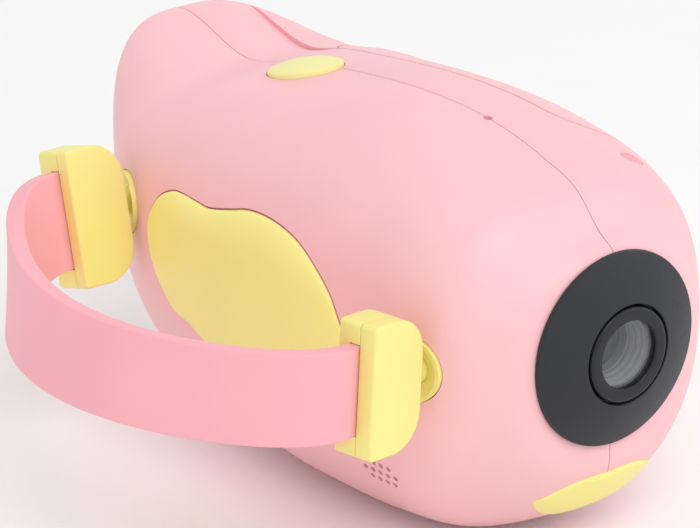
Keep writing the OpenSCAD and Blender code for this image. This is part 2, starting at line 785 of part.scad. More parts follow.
// Leaf under the bezel, as shares of the body's half width and length
beak_tip_share = 0.385;
beak_top_share = 0.001;
beak_tip_y_share = 0.034;
beak_low_share = 0.068;
beak_point_share = 0.0024;
beak_edge_share = 0.3;
beak_cols = 16;
beak_rows = 6;
function low_point(x, y) =
    let (s = section(y)) [x, y, s[3] - (s[3] - s[2]) * max(0, 1 - (abs(x) / s[0]) ^ s[5]) ^ (1 / s[5])];
function low_normal(x, y) =
    let (
        e = 0.2 * wall,
        a = low_point(x + e, y) - low_point(x - e, y),
        b = low_point(x, y + e) - low_point(x, max(0, y - e)),
        n = cross(b, a)
    )
    n / norm(n);
function beak_grid(raised) = [
    for (i = [0 : beak_rows]) [
        for (j = [0 : beak_cols])
            let (
                u = 2 * j / beak_cols - 1,
                v = i / beak_rows,
                top = beak_top_share + (beak_tip_y_share - beak_top_share) * u ^ 4,
                low = beak_low_share - (beak_low_share - beak_tip_y_share) * u ^ 2 + beak_point_share,
                x = u * beak_tip_share * body_half_w,
                y = body_l * (top + (low - top) * v),
                edge = max(abs(2 * v - 1), abs(u)),
                h = raised ? beak_rise * pillow(edge, beak_edge_share) : fit_gap / 2
            )
            low_point(x, y) + h * low_normal(x, y)
    ]
];
module beak_trim() {
    color("gold") on_foot() slab(beak_grid(true), beak_grid(false));
}

// Photo button with its switch

module photo_button() {
    dome = button_rise - button_edge;
    dome_r = (button_r ^ 2 + dome ^ 2) / (2 * dome);
    color("khaki") on_foot() on_button() union() {
        intersection() {
            translate([0, 0, -button_cap_l]) cylinder(r = button_r, h = button_cap_l + button_rise + over);
            translate([0, 0, button_rise - dome_r]) sphere(r = dome_r);
        }
        translate([0, 0, -button_cap_l - flange_t]) cylinder(r = flange_r, h = flange_t);
        translate([0, 0, -button_cap_l - flange_t - stem_l]) cylinder(r = stem_r, h = stem_l + flange_t);
    }
}
module shutter_switch() {
    color("gray") on_foot() on_button() union() {
        translate([-switch_side / 2, -switch_side / 2, -switch_board_z])
            cube([switch_side, switch_side, switch_h / 2]);
        translate([0, 0, -switch_board_z]) cylinder(r = plunger_r, h = switch_h);
    }
}
module switch_board() {
    l = 2 * (post_y + post_r);
    color("green") on_foot() on_button()
        translate([-switch_board_w / 2, -l / 2, -switch_board_z - board_t])
            cube([switch_board_w, l, board_t]);
}

// Screen lid

lid_cols = 12;
lid_rows = 16;
lid_draft = 0.5;
function lid_row(y, inner) =
    let (
        g = -lid_gap - (inner ? lid_draft : 0),
        a = top_angle(y, g, 0),
        b = low_angle(y, g, 0)
    )
    [
        for (j = [0 : lid_cols])
            let (c = a + (b - a) * j / lid_cols)
            inner ? floor_point(y, c, lid_t, lid_in_x) : skin_point(y, c)
    ];
function lid_grid(inner) = [
    for (i = [0 : lid_rows]) lid_row(lid_y + lid_l * (1 - cos(180 * i / lid_rows)) / 2, inner)
];
panel_t = 2.4;
frame_t = 1.4;
frame_margin = 2.4;
frame_rim = 2;
panel_y = lid_y + 0.45 * lid_l;
panel_z = 0;
module screen_box(w, h, x, t) {
    translate([x, panel_y - w / 2, panel_z - h / 2]) cube([t, w, h]);
}
frame_w = panel_w + 2 * frame_margin;
frame_h = panel_h + 2 * frame_margin;
module screen_lid() {
    web_x = 0.7 * barrel_hinge_r;
    color("pink") on_foot() difference() {
        union() {
            slab(lid_grid(false), lid_grid(true), true);
            on_hinge() cylinder(r = barrel_hinge_r, h = 2 * hinge_half_l, center = true);
            on_hinge() translate([-web_x, 0, -hinge_half_l])
                cube([web_x, lid_y - hinge_y + 2 * over, 2 * hinge_half_l]);
        }
        on_hinge() cylinder(r = pin_r + run_gap, h = 2 * (hinge_half_l + over), center = true);
        screen_box(frame_w + 2 * fit_gap, frame_h + 2 * fit_gap, lid_in_x - over, over + frame_t);
        screen_box(panel_w + 2 * fit_gap, panel_h + 2 * fit_gap, lid_in_x, frame_t + panel_t);
    }
}
module screen_frame() {
    color("dimgray") on_foot() difference() {
        screen_box(frame_w, frame_h, lid_in_x, frame_t);
        screen_box(panel_w - 2 * frame_rim, panel_h - 2 * frame_rim, lid_in_x - over, frame_t + 2 * over);
    }
}
module screen_panel() {
    color("black") on_foot() screen_box(panel_w, panel_h, lid_in_x + frame_t, panel_t);
}
module screen_hinge_pin() {
    color("silver") on_foot() on_hinge() cylinder(r = pin_r, h = pin_l, center = true);
}

// Hand strap

module strap_cup() {
    top = anchor_sink + cup_proud;
    mouth = sqrt(ball_r ^ 2 - cup_lip ^ 2);
    color("gold") sidewards() difference() {
        translate([0, 0, anchor_sink - cup_l]) cylinder(r = cup_r, h = cup_l + cup_proud);
        sphere(r = ball_r + run_gap);
        translate([0, 0, cup_lip]) cylinder(r1 = mouth, r2 = cup_mouth_r, h = top - cup_lip + touch_gap);
    }
}
module front_strap_cup() {
    on_foot() at_front_anchor() strap_cup();
}
module rear_strap_cup() {
    on_foot() at_rear_anchor() strap_cup();
}
// Outline of a bracket, from its rounded inner side to its straight outer side
function arc(x, z, r, start) = [
    for (i = [0 : corner_steps])
        let (a = start + 90 * i / corner_steps)
        [x + r * cos(a), z + r * sin(a)]
];
module bracket_outline() {
    x_in = bracket_in + bracket_r;
    z_in = bracket_h / 2 - bracket_r;
    x_out = bracket_out - bracket_edge_r;
    z_out = bracket_h / 2 - bracket_edge_r;
    polygon(concat(
        arc(x_in, z_in, bracket_r, 90),
        arc(x_in, -z_in, bracket_r, 180),
        arc(x_out, -z_out, bracket_edge_r, 270),
        arc(x_out, z_out, bracket_edge_r, 0)
    ));
}
module bracket_plate(y0, y1) {
    translate([0, y1, 0]) rotate([90, 0, 0]) linear_extrude(y1 - y0) bracket_outline();
}
// Ball and arm in one turned piece
module knuckle() {
    neck = acos(arm_r / ball_r);
    arm_end = bracket_in + over;
    ball = [
        for (i = [0 : ball_steps])
            let (a = -90 + (90 + neck) * i / ball_steps)
            ball_r * [cos(a), sin(a)]
    ];
    sidewards() rotate_extrude() polygon(concat(ball, [[arm_r, arm_end], [0, arm_end]]));
}
module bracket_back() {
    color("gold") union() {
        difference() {
            bracket_plate(halves_y - bracket_back_t, halves_y);
            translate([tab_in - fit_gap, strap_y - strap_tab_t / 2 - fit_gap / 2, -strap_w / 2 - fit_gap])
                cube([bracket_w, strap_tab_t + fit_gap + over, strap_w + 2 * fit_gap]);
        }
        knuckle();
    }
}
module bracket_face() {
    color("gold") bracket_plate(halves_y, halves_y + bracket_face_t);
}
module front_bracket_back() {
    on_foot() on_front_ball() bracket_back();
}
module front_bracket_face() {
    on_foot() on_front_ball() bracket_face();
}
module rear_bracket_back() {
    on_foot() on_rear_ball() bracket_back();
}
module rear_bracket_face() {
    on_foot() on_rear_ball() bracket_face();
}

// Middle line of the strap: straight tabs in the brackets and two curves that meet at its outermost point
function upright_of(yaw, tilt) = [-sin(tilt) * cos(yaw), -sin(tilt) * sin(yaw), cos(tilt)];
function up_of(yaw, tilt, lean) = cos(lean) * upright_of(yaw, tilt) - sin(lean) * forward_of(yaw);
function across_of(yaw, tilt, lean) = cos(lean) * forward_of(yaw) + sin(lean) * upright_of(yaw, tilt);
front_out = out_of(front_turn, front_tilt);
rear_out = out_of(rear_turn, rear_tilt);
front_root = front_ball + strap_y * across_of(front_turn, front_tilt, front_lean);
rear_root = rear_ball + strap_y * across_of(rear_turn, rear_tilt, rear_lean);
strap_start = bracket_out + 0.5 * strap_t;
front_end = front_root + strap_start * front_out;
rear_end = rear_root + strap_start * rear_out;
line_dir = (rear_ball - front_ball) / norm(rear_ball - front_ball);
line_out = cross(line_dir, [0, 0, 1]) / norm(cross(line_dir, [0, 0, 1]));
strap_top = (front_ball + rear_ball) / 2 - strap_reach * line_out;
bend_share = 0.55;
function bent(p, u) =
    (1 - u) ^ 3 * p[0] + 3 * u * (1 - u) ^ 2 * p[1] + 3 * u ^ 2 * (1 - u) * p[2] + u ^ 3 * p[3];
end_pull = bend_share * (strap_reach - strap_start);
top_pull = bend_share * norm(rear_end - front_end) / 2;
front_pull = front_end + end_pull * front_out;
rear_pull = rear_end + end_pull * rear_out;
front_bend = [front_end, front_pull, strap_top - top_pull * line_dir, strap_top];
rear_bend = [strap_top, strap_top + top_pull * line_dir, rear_pull, rear_end];
bend_steps = 14;
strap_line = concat(
    [for (x = [tab_in, bracket_out + clear]) front_root + x * front_out],
    [for (i = [0 : bend_steps]) bent(front_bend, i / bend_steps)],
    [for (i = [1 : bend_steps]) bent(rear_bend, i / bend_steps)],
    [for (x = [bracket_out + clear, tab_in]) rear_root + x * rear_out]
);
front_up = up_of(front_turn, front_tilt, front_lean);
rear_up = up_of(rear_turn, rear_tilt, rear_lean);
// Corners of the strap's section, as shares of its half width and half thickness
strap_section_shares = [
    [1, 0.5], [0.94, 1], [-0.94, 1], [-1, 0.5], [-1, -0.5], [-0.94, -1], [0.94, -1], [1, -0.5]
];
function strap_ring(i) =
    let (
        last = len(strap_line) - 1,
        run = strap_line[min(i + 1, last)] - strap_line[max(i - 1, 0)],
        t = i < 2 || i > last - 2 ? strap_tab_t : strap_t,
        mix = min(1, max(0, (i - 2) / (last - 4))),
        lift = front_up * (1 - mix) + rear_up * mix,
        side = cross(run, lift) / norm(cross(run, lift)),
        up = cross(side, run) / norm(cross(side, run))
    )
    [for (s = strap_section_shares) strap_line[i] + s[0] * strap_w / 2 * up + s[1] * t / 2 * side];
module hand_strap() {
    rings = [for (i = [0 : len(strap_line) - 1]) strap_ring(i)];
    n = len(strap_section_shares);
    last = len(rings) - 1;
    faces = concat(
        [[for (j = [0 : n - 1]) j]],
        [
            for (i = [0 : last - 1], j = [0 : n - 1], k = [0, 1])
                let (a = i * n + j, b = i * n + (j + 1) % n)
                k == 0 ? [a, a + n, b + n] : [a, b + n, b]
        ],
        [[for (j = [n - 1 : -1 : 0]) last * n + j]]
    );
    color("lightpink") on_foot() polyhedron(joined(rings), faces, convexity = 4);
}

// Inside

module loudspeaker() {
    color("dimgray") on_foot() on_speaker() union() {
        translate([0, 0, -speaker_depth - speaker_t]) cylinder(r = speaker_r, h = speaker_t);
        translate([0, 0, -speaker_depth - 2 * speaker_t]) cylinder(r = 0.6 * speaker_r, h = 2 * speaker_t);
    }
}
module microphone() {
    color("silver") on_foot() at_microphone()
        translate([0, 0, -wall - mic_t - mic_gap]) cylinder(r = mic_r, h = mic_t);
}
module main_board() {
    color("green") on_foot() translate([board_x - board_t, wing_y - board_l / 2, board_z - board_h / 2])
        cube([board_t, board_l, board_h]);
}
module battery() {
    l = battery_share * board_l;
    h = battery_share * board_h;
    color("silver") on_foot() translate([board_x, wing_y - l / 2, board_z - h / 2]) cube([battery_t, l, h]);
}
module function_board() {
    l = (key_post_shares[1] - key_post_shares[0]) * lid_l + 2 * key_post_r;
    y = lid_y + key_post_shares[0] * lid_l - key_post_r;
    color("green") on_foot() union() {
        translate([bay_floor_x - key_board_z - board_t, y, key_z - key_board_h / 2])
            cube([board_t, l, key_board_h]);
        for (s = key_shares)
            at_key(s) translate([0, 0, -key_board_z - board_t / 2])
                cylinder(r = key_switch_r, h = key_switch_h + board_t / 2);
    }
}
module key(share) {
    color("white") on_foot() at_key(share) union() {
        translate([0, 0, -key_back]) cylinder(r = key_flange_r, h = key_flange_t);
        translate([0, 0, -key_back]) cylinder(r = key_r, h = key_back + key_proud);
    }
}
module power_button() {
    key(key_shares[0]);
}
module menu_button() {
    key(key_shares[1]);
}
module record_button() {
    key(key_shares[2]);
}
module case_screw(i) {
    color("silver") on_foot() at_screw(i) union() {
        translate([0, 0, seat_x]) cylinder(r = screw_head_r, h = screw_head_t);
        translate([0, 0, seat_x - screw_l]) cylinder(r = screw_r, h = screw_l + screw_head_t / 2);
    }
}
module front_case_screw() {
    case_screw(0);
}
module rear_case_screw() {
    case_screw(1);
}
module low_case_screw() {
    case_screw(2);
}

strap_side_shell();
screen_side_shell();
lens_bezel();
lens_ring();
front_glass();
lens_barrel();
objective_lens();
sensor_board();
beak_trim();
wing_panel();
photo_button();
shutter_switch();
switch_board();
screen_lid();
screen_frame();
screen_panel();
screen_hinge_pin();
front_strap_cup();
rear_strap_cup();
front_bracket_back();
front_bracket_face();
rear_bracket_back();
rear_bracket_face();
hand_strap();
loudspeaker();
microphone();
main_board();
battery();
function_board();
power_button();
menu_button();
record_button();
front_case_screw();
rear_case_screw();
low_case_screw();
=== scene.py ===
import bpy
import bmesh
import math
from collections import namedtuple
from mathutils import Matrix, Vector


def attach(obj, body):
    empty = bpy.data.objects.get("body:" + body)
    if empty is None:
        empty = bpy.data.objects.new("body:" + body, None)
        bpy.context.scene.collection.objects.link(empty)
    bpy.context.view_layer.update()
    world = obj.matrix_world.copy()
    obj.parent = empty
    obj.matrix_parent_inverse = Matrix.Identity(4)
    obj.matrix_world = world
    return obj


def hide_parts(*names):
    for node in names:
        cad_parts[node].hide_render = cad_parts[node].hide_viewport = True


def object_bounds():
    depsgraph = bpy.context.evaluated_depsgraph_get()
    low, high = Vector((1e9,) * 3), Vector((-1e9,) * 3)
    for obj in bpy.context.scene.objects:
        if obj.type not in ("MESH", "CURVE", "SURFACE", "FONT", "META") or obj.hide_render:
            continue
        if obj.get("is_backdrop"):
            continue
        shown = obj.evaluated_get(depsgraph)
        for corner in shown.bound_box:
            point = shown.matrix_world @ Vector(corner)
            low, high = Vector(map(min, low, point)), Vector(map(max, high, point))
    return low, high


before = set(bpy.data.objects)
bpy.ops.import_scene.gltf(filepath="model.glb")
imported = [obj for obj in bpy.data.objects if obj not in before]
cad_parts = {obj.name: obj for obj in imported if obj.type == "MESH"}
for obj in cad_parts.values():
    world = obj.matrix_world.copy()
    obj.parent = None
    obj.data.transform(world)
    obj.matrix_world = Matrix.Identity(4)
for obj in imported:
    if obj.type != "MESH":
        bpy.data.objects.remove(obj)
cad_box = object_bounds()

# Lengths are in mm and angles in degrees, in the lens frame of the CAD model: x towards the screen side, y from
# the lens rim to the tail, z up. LENS takes a point to the shared frame, and MM takes it to metres.
MM = 0.001
FIT, CLEAR, SEAM = 0.15, 0.35, 0.09
OVER = 1.0  # how far a cutting tool stands beyond the face it cuts
AXIS_R = 0.001  # radius that stands for the axis in a turned profile
WELD, SLIVER = 2e-6, 1e-6  # in metres

# Body
BODY_L, BODY_HALF_W, BODY_UP, BODY_DOWN = 124.0, 32.5, 31.3, 40.0
FOOT_CUT, FOOT_TO_RIM, WALL = 1.6, 43.0, 2.0
AXIS_H = BODY_DOWN - FOOT_CUT
# stations: share of the length, then shares of the half width, of the height and of the depth
BODY = (
    (0, 0.582, 0.549, 0.574), (0.029, 0.704, 0.612, 0.714), (0.072, 0.848, 0.782, 0.809),
    (0.145, 0.945, 0.897, 0.928), (0.246, 0.961, 0.983, 0.993), (0.377, 0.986, 1, 1),
    (0.522, 1, 0.948, 0.964), (0.667, 0.975, 0.856, 0.887), (0.797, 0.87, 0.741, 0.757),
    (0.913, 0.751, 0.908, 0.624), (1.014, 0.684, 1.19, 0.516),
)
# height of the widest line, as a share of half the section's height
WIDEST = ((0, 0.1), (0.435, -0.06), (0.913, 0.35))
# where the tail starts to close and with which power: at the sides, and at top and bottom
SIDE_CLOSE, END_CLOSE = (0.696, 2.3), (0.812, 3.1)
# powers of the superellipse sections; POWER_BLEND is where the rim's power has given way to the others
RIM_POWER, UPPER_POWER, LOWER_POWER, POWER_BLEND = 2.1, 2.73, 2.53, 0.145
SCREEN_POWER = ((0.58, 2.73), (0.7, 3.2), (0.8, 4.5), (0.92, 4.0))
# rounded front rim: reach along the side and over the face, largest share of the face, gap to the next row
RIM_SIDE, RIM_FACE, RIM_MOST, RIM_CLEAR = 2.4, 3.0, 0.85, 0.1
STRAP_COLS = 72
BAND_STEPS, LID_BAND = (14, 40, 22), 1  # columns of the screen side above, on and below the lid

# Holes, and the forms that only the visual shells have
SPEAKER_Y, SPEAKER_Z, SPEAKER_LEAN = 26.0, -24.0, 26.0
SPEAKER_HOLE_R, SPEAKER_PITCH, SPEAKER_ROWS = 0.55, 1.85, (4, 5, 4)
MIC_Y, MIC_HOLE_R = 32.0, 0.8
DENT_Y, DENT_ANGLE, DENT_LONG_R, DENT_WIDE_R, DENT_DEPTH = 15.6, 60.0, 2.9, 1.45, 1.4
DENT_LIP, DENT_LEVELS = 1.06, ((0.6, 0.92), (0.9, 0.78), (1.0, 0.55))  # shares of the depth and of the radii
HUMP_START, HUMP_END, HUMP_FADE = 81.0, 114.0, 8
HUMP_DRIFT, HUMP_DRIFT_FROM, HUMP_DRIFT_L = 1.3, 84, 16
HUMP_GROOVE, HUMP_STEP, HUMP_STEP_W, HUMP_STEP_FROM, HUMP_STEP_L = 0.9, 0.75, 2.4, 85, 14
HUMP_THIN = 0.01  # keeps the tools solid where they fade out

# Screen lid, its bay and its hinge
LID_Y, LID_L, LID_EDGE_X, LID_LOW, LID_CORNER = 22.0, 71.0, 11.3, 24.0, 11.0
LID_IN_X, LID_T, LID_GAP, LID_DRAFT = 22.0, 2.2, 0.4, 0.5
BAY_GAP, BAY_REAR_GAPS = 1.2, 1.5
BAY_FLOOR_X = LID_IN_X - BAY_GAP
KEY_R, KEY_Z, KEY_SHARES = 3.6, -6.0, (0.32, 0.5, 0.68)
SCREW_R, SCREW_SHARES = 2.0, ((0.14, 0.52), (0.87, 0.3), (0.5, -0.64))
PANEL_W, PANEL_H, PANEL_T, PANEL_SHARE, PANEL_Z = 50.0, 34.0, 2.4, 0.45, 0.0
FRAME_T, FRAME_MARGIN = 1.4, 2.4
HINGE_R, HINGE_HALF, HINGE_ROOM, HINGE_CHAMFER = 2.4, 8.0, 1.28, 0.3
PIN_R, PIN_PLAY = 1.0, 0.05
WEB_DEEP, WEB_GAP, WEB_REACH = 0.7, 0.3, 2.0
LUG_L, LUG_R, LUG_SINK, LUG_CHAMFER = 2.2, 1.8, 0.4, 0.2

# Lens
BEZEL_R, BEZEL_EDGE, BEZEL_DOME, BEZEL_SPIGOT, BEZEL_LIP = 17.0, 0.9, 4.2, 3.2, 1.5
BEZEL_RIM = ((-0.15, 0), (0, 0.15), (0, 0.6), (-0.12, 0.95))  # change of radius, height
OPENING_R = BEZEL_R - BEZEL_LIP
RING_R, RING_FRONT, RING_ROUND, RING_FLANGE = 8.3, 4.3, 0.6, 1.2
GROOVE_R, GROOVE_Z = RING_R + 0.45, 2.6
GROOVE_RIM = ((0.06, -0.05), (0, -0.3))  # change of radius, change of height
DOME_OUT, DOME_IN = BEZEL_R - 0.5, GROOVE_R + 0.25
GLASS_R, GLASS_T, GLASS_BULGE = 5.9, 1.3, 0.6
SEAT_R = GLASS_R + 0.6
LIP_Z, LIP_ROUND = RING_FRONT - 0.6, 0.4
BARREL_L, BARREL_FLANGE_T, BARREL_FLANGE_W, BARREL_WALL = 15.7, 1.2, 1.8, 1.4
STOP_L, STOP_WALL = 8.25, 2.6
RIB_COUNT, RIB_PITCH, RIB_INSET, RIB_STEP = 4, 1.1, 0.5, 0.3
RIB_SHAPE = ((0, 0), (0, 0.7), (0.12, 0.8), (0.12, RIB_PITCH))  # inwards, backwards

# Photo button
BUTTON_R, BUTTON_RISE, BUTTON_X, BUTTON_Y, BUTTON_CAP = 6.8, 1.8, 3.2, 77.0, 3.6
BUTTON_TIP, BUTTON_EDGE, BUTTON_FLANGE_T, BUTTON_FLANGE_W = 3.0, 0.5, 1.2, 1.3
BUTTON_ROUND, BUTTON_ROUND_DROP, BUTTON_ROUND_SWEEP = 0.5, 0.45, 72

# Wing and beak
WING_L, WING_H, WING_Y, WING_Z = 54.0, 30.0, 58.8, -1.2
WING_RISE, WING_RIM, WING_POWER, WING_UNDER = 1.4, 0.1, 7, 0.02
WING_JOINT_W, WING_JOINT_IN, WING_JOINT_DEEP = 0.3, 0.1, 0.8
# shares of half the length and of half the height
WING_OUTLINE = (
    (-0.147, 1), (0.01, 0.982), (0.14, 0.916), (0.347, 0.826), (0.483, 0.832), (0.637, 0.844),
    (0.753, 0.814), (0.877, 0.682), (0.973, 0.435), (1, 0.195), (0.953, -0.117), (0.83, -0.411),
    (0.69, -0.616), (0.52, -0.682), (0.433, -0.76), (0.153, -0.952), (-0.18, -1), (-0.447, -0.94),
    (-0.68, -0.73), (-0.88, -0.43), (-0.993, -0.13), (-1, 0.051), (-0.957, 0.213), (-0.853, 0.483),
    (-0.7, 0.706), (-0.517, 0.886), (-0.337, 0.97),
)
BEAK_RISE, BEAK_RIM, BEAK_POWER, BEAK_UNDER = 0.45, 0.12, 5, -0.5
# shares of the body: half width, upper edge with its power, lower edge with its bow, height of the tips
BEAK_HALF_W, BEAK_TOP, BEAK_TOP_POWER = 0.4, 0.035, 2.7
BEAK_LOW, BEAK_BOW, BEAK_TIP = 0.068, 0.033, 0.0012

# Cups, brackets and strap
CUP_R, CUP_L, BALL_R, ANCHOR_SINK = 5.6, 6.0, 3.0, 1.8
FRONT_ANCHOR, REAR_ANCHOR = (15.3, -0.8), (96.0, 3.2)
# turn about Z, tilt up and lean of each bracket
FRONT_POSE, REAR_POSE = (189.0, 5.0, 1.0), (184.0, 3.0, 16.0)
FRONT_SHIFT = -0.6
BRACKET_IN, BRACKET_W, BRACKET_R, BRACKET_EDGE = 5.6, 12.0, 6.5, 0.9
BRACKET_OUT = BRACKET_IN + BRACKET_W
FRONT_H, REAR_H = 23.0, 24.4
FRONT_T, REAR_T = (4.6, 3.4), (5.2, 2.8)  # back half, face half
HALF_GAP, PLATE_ROUND, JOINT_ROUND = 0.06, 0.5, 0.12
PLATE_ROUND_ANGLES = (0, 22, 45, 67, 90)
ARM_R, ARM_SINK = 0.53 * BALL_R, 0.6
COLLAR_RISE, COLLAR_FOOT, COLLAR_TOP = 0.25, 0.9, 0.35
FRONT_STRAP_W, REAR_STRAP_W, STRAP_T, STRAP_REACH = 15.4, 17.2, 3.2, 42.2
STRAP_SAG, STRAP_TWIST, STRAP_ROUND, STRAP_STEPS = 2.4, 9.0, 0.26, 60
FRONT_PULL, REAR_PULL, TOP_PULL = 0.55, 0.42, 0.55
SLACK_PEAK = 45.56  # brings the largest slack to 1
TAB_T, TAB_IN, TAB_STEPS = 2.0, BRACKET_IN + BRACKET_W / 3, 3
HALVES_Y = ARM_R + 0.1 * BALL_R
STRAP_Y = HALVES_Y - FIT / 2 - TAB_T / 2

# Materials
DRIFT_SCALE, DRIFT_DETAIL, DRIFT_RANGE, DRIFT_LIFT = 28.0, 3.0, (0.3, 0.7), 0.6
GRAIN_DETAIL, GRAIN_DEPTH, COAT_ROUGHNESS = 4.0, 0.0002, 0.12

# Camera, solved from the photograph: the pixel where the lens frame's origin is seen, and the view's axes
PHOTO_W, PHOTO_MID, ORIGIN_PX = 700, (350, 264), (612.6, 347.1)
FOCAL_PX, DISTANCE, SCALE = 4377.6, 800.0, 0.9
SENSOR_W, CLIP_END = 36.0, 10.0
VIEW_RIGHT = Vector((0.7777, -0.6285, 0.0))
VIEW_UP = Vector((0.2405, 0.2976, 0.9238))
VIEW_BACK = Vector((-0.5806, -0.7186, 0.3827))

# Studio; LIGHT_AIM is in metres
FLOOR_HALF, FLOOR_LOW, FLOOR_TOP = 2500, -2.0, -0.02
LIGHT_AIM = (0, 0.02, 0.03)
ROOM_LIGHT, SEEN_LIGHT = 0.78, 1.0


def sin(a):
    return math.sin(math.radians(a))


def cos(a):
    return math.cos(math.radians(a))


def eased(i, n):
    """Share of the way at step i of n, with close steps at both ends."""
    return (1 - cos(180 * i / n)) / 2


def move(*by):
    return Matrix.Translation(by)


def turn(axis, a):
    return Matrix.Rotation(math.radians(a), 4, axis)


LENS = move(0, -FOOT_TO_RIM, AXIS_H)


# The body's loft

Section = namedtuple("Section", "half_w top low wide_z upper_power lower_power screen_power")


def tangents(col):
    n = len(BODY)
    d = [(BODY[i + 1][col] - BODY[i][col]) / (BODY[i + 1][0] - BODY[i][0]) for i in range(n - 1)]
    m = [0.0] * n
    for i in range(1, n - 1):
        h0, h1 = BODY[i][0] - BODY[i - 1][0], BODY[i + 1][0] - BODY[i][0]
        m[i] = (d[i - 1] * h1 + d[i] * h0) / (h0 + h1)
    m[0] = 1.5 * d[0] - 0.5 * m[1]
    m[-1] = 1.5 * d[-1] - 0.5 * m[-2]
    return m


SLOPES = {c: tangents(c) for c in (1, 2, 3)}


def curve(col, t):
    """Smooth curve through one column of the stations."""
    i = 0
    while i < len(BODY) - 2 and t >= BODY[i + 1][0]:
        i += 1
    h = BODY[i + 1][0] - BODY[i][0]
    u = (t - BODY[i][0]) / h
    m = SLOPES[col]
    return ((2 * u ** 3 - 3 * u ** 2 + 1) * BODY[i][col] + (u ** 3 - 2 * u ** 2 + u) * h * m[i]
            + (3 * u ** 2 - 2 * u ** 3) * BODY[i + 1][col] + (u ** 3 - u ** 2) * h * m[i + 1])


def lookup(t, table):
    """Straight lines through a table's points, level beyond its ends."""
    if t <= table[0][0]:
        return table[0][1]
    for (t0, v0), (t1, v1) in zip(table, table[1:]):
        if t <= t1:
            return v0 + (v1 - v0) * (t - t0) / (t1 - t0)
    return table[-1][1]


def arch(q, n):
    """Height of the unit superellipse of power n at q."""
    return max(0.0, 1 - abs(q) ** n) ** (1 / n)


def closing(c, start, power):
    return 1.0 if c <= start else arch((c - start) / (1 - start), power)


def section(y, d=0.0):
    """Section of the skin at y, drawn in by d."""
    t, c = y / BODY_L, y / (BODY_L - d)
    kw, kh = closing(c, *SIDE_CLOSE), closing(c, *END_CLOSE)
    top, low = BODY_UP * curve(2, t), -BODY_DOWN * curve(3, t)
    mid = (top + low) / 2
    blend = min(1.0, t / POWER_BLEND)
    powers = (UPPER_POWER, LOWER_POWER, lookup(t, SCREEN_POWER))
    return Section((BODY_HALF_W * curve(1, t) - d) * kw, mid + (top - d - mid) * kh,
                   mid + (low + d - mid) * kh, mid + (top - low) / 2 * lookup(t, WIDEST) * kh,
                   *(RIM_POWER + (p - RIM_POWER) * blend for p in powers))


def signed_power(b, e):
    return math.copysign(abs(b) ** e, b)


def ring_point(s, y, a, d=0.0):
    """Point of a section at an angle: 0 is the screen side, 90 the top, 180 the strap side."""
    up = sin(a) >= 0
    n = s.lower_power if not up else s.screen_power if cos(a) > 0 else s.upper_power
    r = s.top - s.wide_z if up else s.wide_z - s.low
    return (s.half_w * signed_power(cos(a), 2 / n), y,
            max(s.wide_z + r * signed_power(sin(a), 2 / n), max(d, 0) - AXIS_H))


def skin_point(y, a):
    return ring_point(section(y), y, a)


def skin_x(y, z):
    """Half width of the strap side."""
    s = section(y)
    up = z >= s.wide_z
    q = (z - s.wide_z) / (s.top - s.wide_z if up else s.wide_z - s.low)
    return s.half_w * arch(q, s.upper_power if up else s.lower_power)


def skin_z(x, y):
    """Top of the strap side."""
    s = section(y)
    return s.wide_z + (s.top - s.wide_z) * arch(x / s.half_w, s.upper_power)


def screen_z(x, y):
    """Top of the screen side."""
    s = section(y)
    return s.wide_z + (s.top - s.wide_z) * arch(x / s.half_w, s.screen_power)


def low_z(x, y):
    """Underside."""
    s = section(y)
    return s.wide_z - (s.wide_z - s.low) * arch(x / s.half_w, s.lower_power)


# Mesh helpers; a mesh is a pair of points and faces


def new_object(name, verts, faces, matrix=LENS):
    """A mesh object from points in mm, placed by a matrix in mm."""
    mesh = bpy.data.meshes.new(name)
    mesh.from_pydata([tuple((matrix @ Vector(v)) * MM) for v in verts], [], faces)
    bm = bmesh.new()
    bm.from_mesh(mesh)
    bmesh.ops.remove_doubles(bm, verts=bm.verts, dist=WELD)
    bmesh.ops.dissolve_degenerate(bm, edges=bm.edges, dist=SLIVER)
    bmesh.ops.recalc_face_normals(bm, faces=bm.faces)
    bm.to_mesh(mesh)
    bm.free()
    obj = bpy.data.objects.new(name, mesh)
    bpy.context.collection.objects.link(obj)
    return obj


def grid(rows, wrap=False):
    """Points and quads of a grid of rows; wrap closes each row on itself."""
    cols = len(rows[0])
    points = [p for r in rows for p in r]
    pairs = [(j, (j + 1) % cols) for j in range(cols if wrap else cols - 1)]
    faces = [(i * cols + a, i * cols + b, (i + 1) * cols + b, (i + 1) * cols + a)
             for i in range(len(rows) - 1) for a, b in pairs]
    return points, faces


def merged(*pieces):
    points, faces = [], []
    for p, f in pieces:
        faces += [tuple(k + len(points) for k in q) for q in f]
        points += p
    return points, faces


def placed(piece, matrix):
    return [tuple(matrix @ Vector(p)) for p in piece[0]], piece[1]


def capped(rows):
    """A closed tube of rings with flat ends."""
    points, faces = grid(rows, wrap=True)
    n, last = len(rows[0]), len(rows) - 1
    return points, faces + [tuple(range(n - 1, -1, -1)), tuple(last * n + j for j in range(n))]


def slab(outer, inner):
    """Closed solid between two grids of the same size."""
    rows, cols = len(outer), len(outer[0])
    n = rows * cols
    top, faces = grid(outer)
    low, _ = grid(inner)
    faces = faces + [tuple(n + k for k in reversed(f)) for f in faces]
    rim = [j for j in range(cols)] + [i * cols + cols - 1 for i in range(1, rows)]
    rim += [(rows - 1) * cols + j for j in range(cols - 2, -1, -1)]
    rim += [i * cols for i in range(rows - 2, 0, -1)]
    faces += [(a, b, n + b, n + a) for a, b in zip(rim, rim[1:] + rim[:1])]
    return top + low, faces


def circle(r, z, steps):
    return [(r * cos(360 * k / steps), r * sin(360 * k / steps), z) for k in range(steps)]


def lathe(profile, steps):
    """Revolve of an (r, h) profile about +Z."""
    return grid([circle(r, h, steps) for r, h in profile], wrap=True)


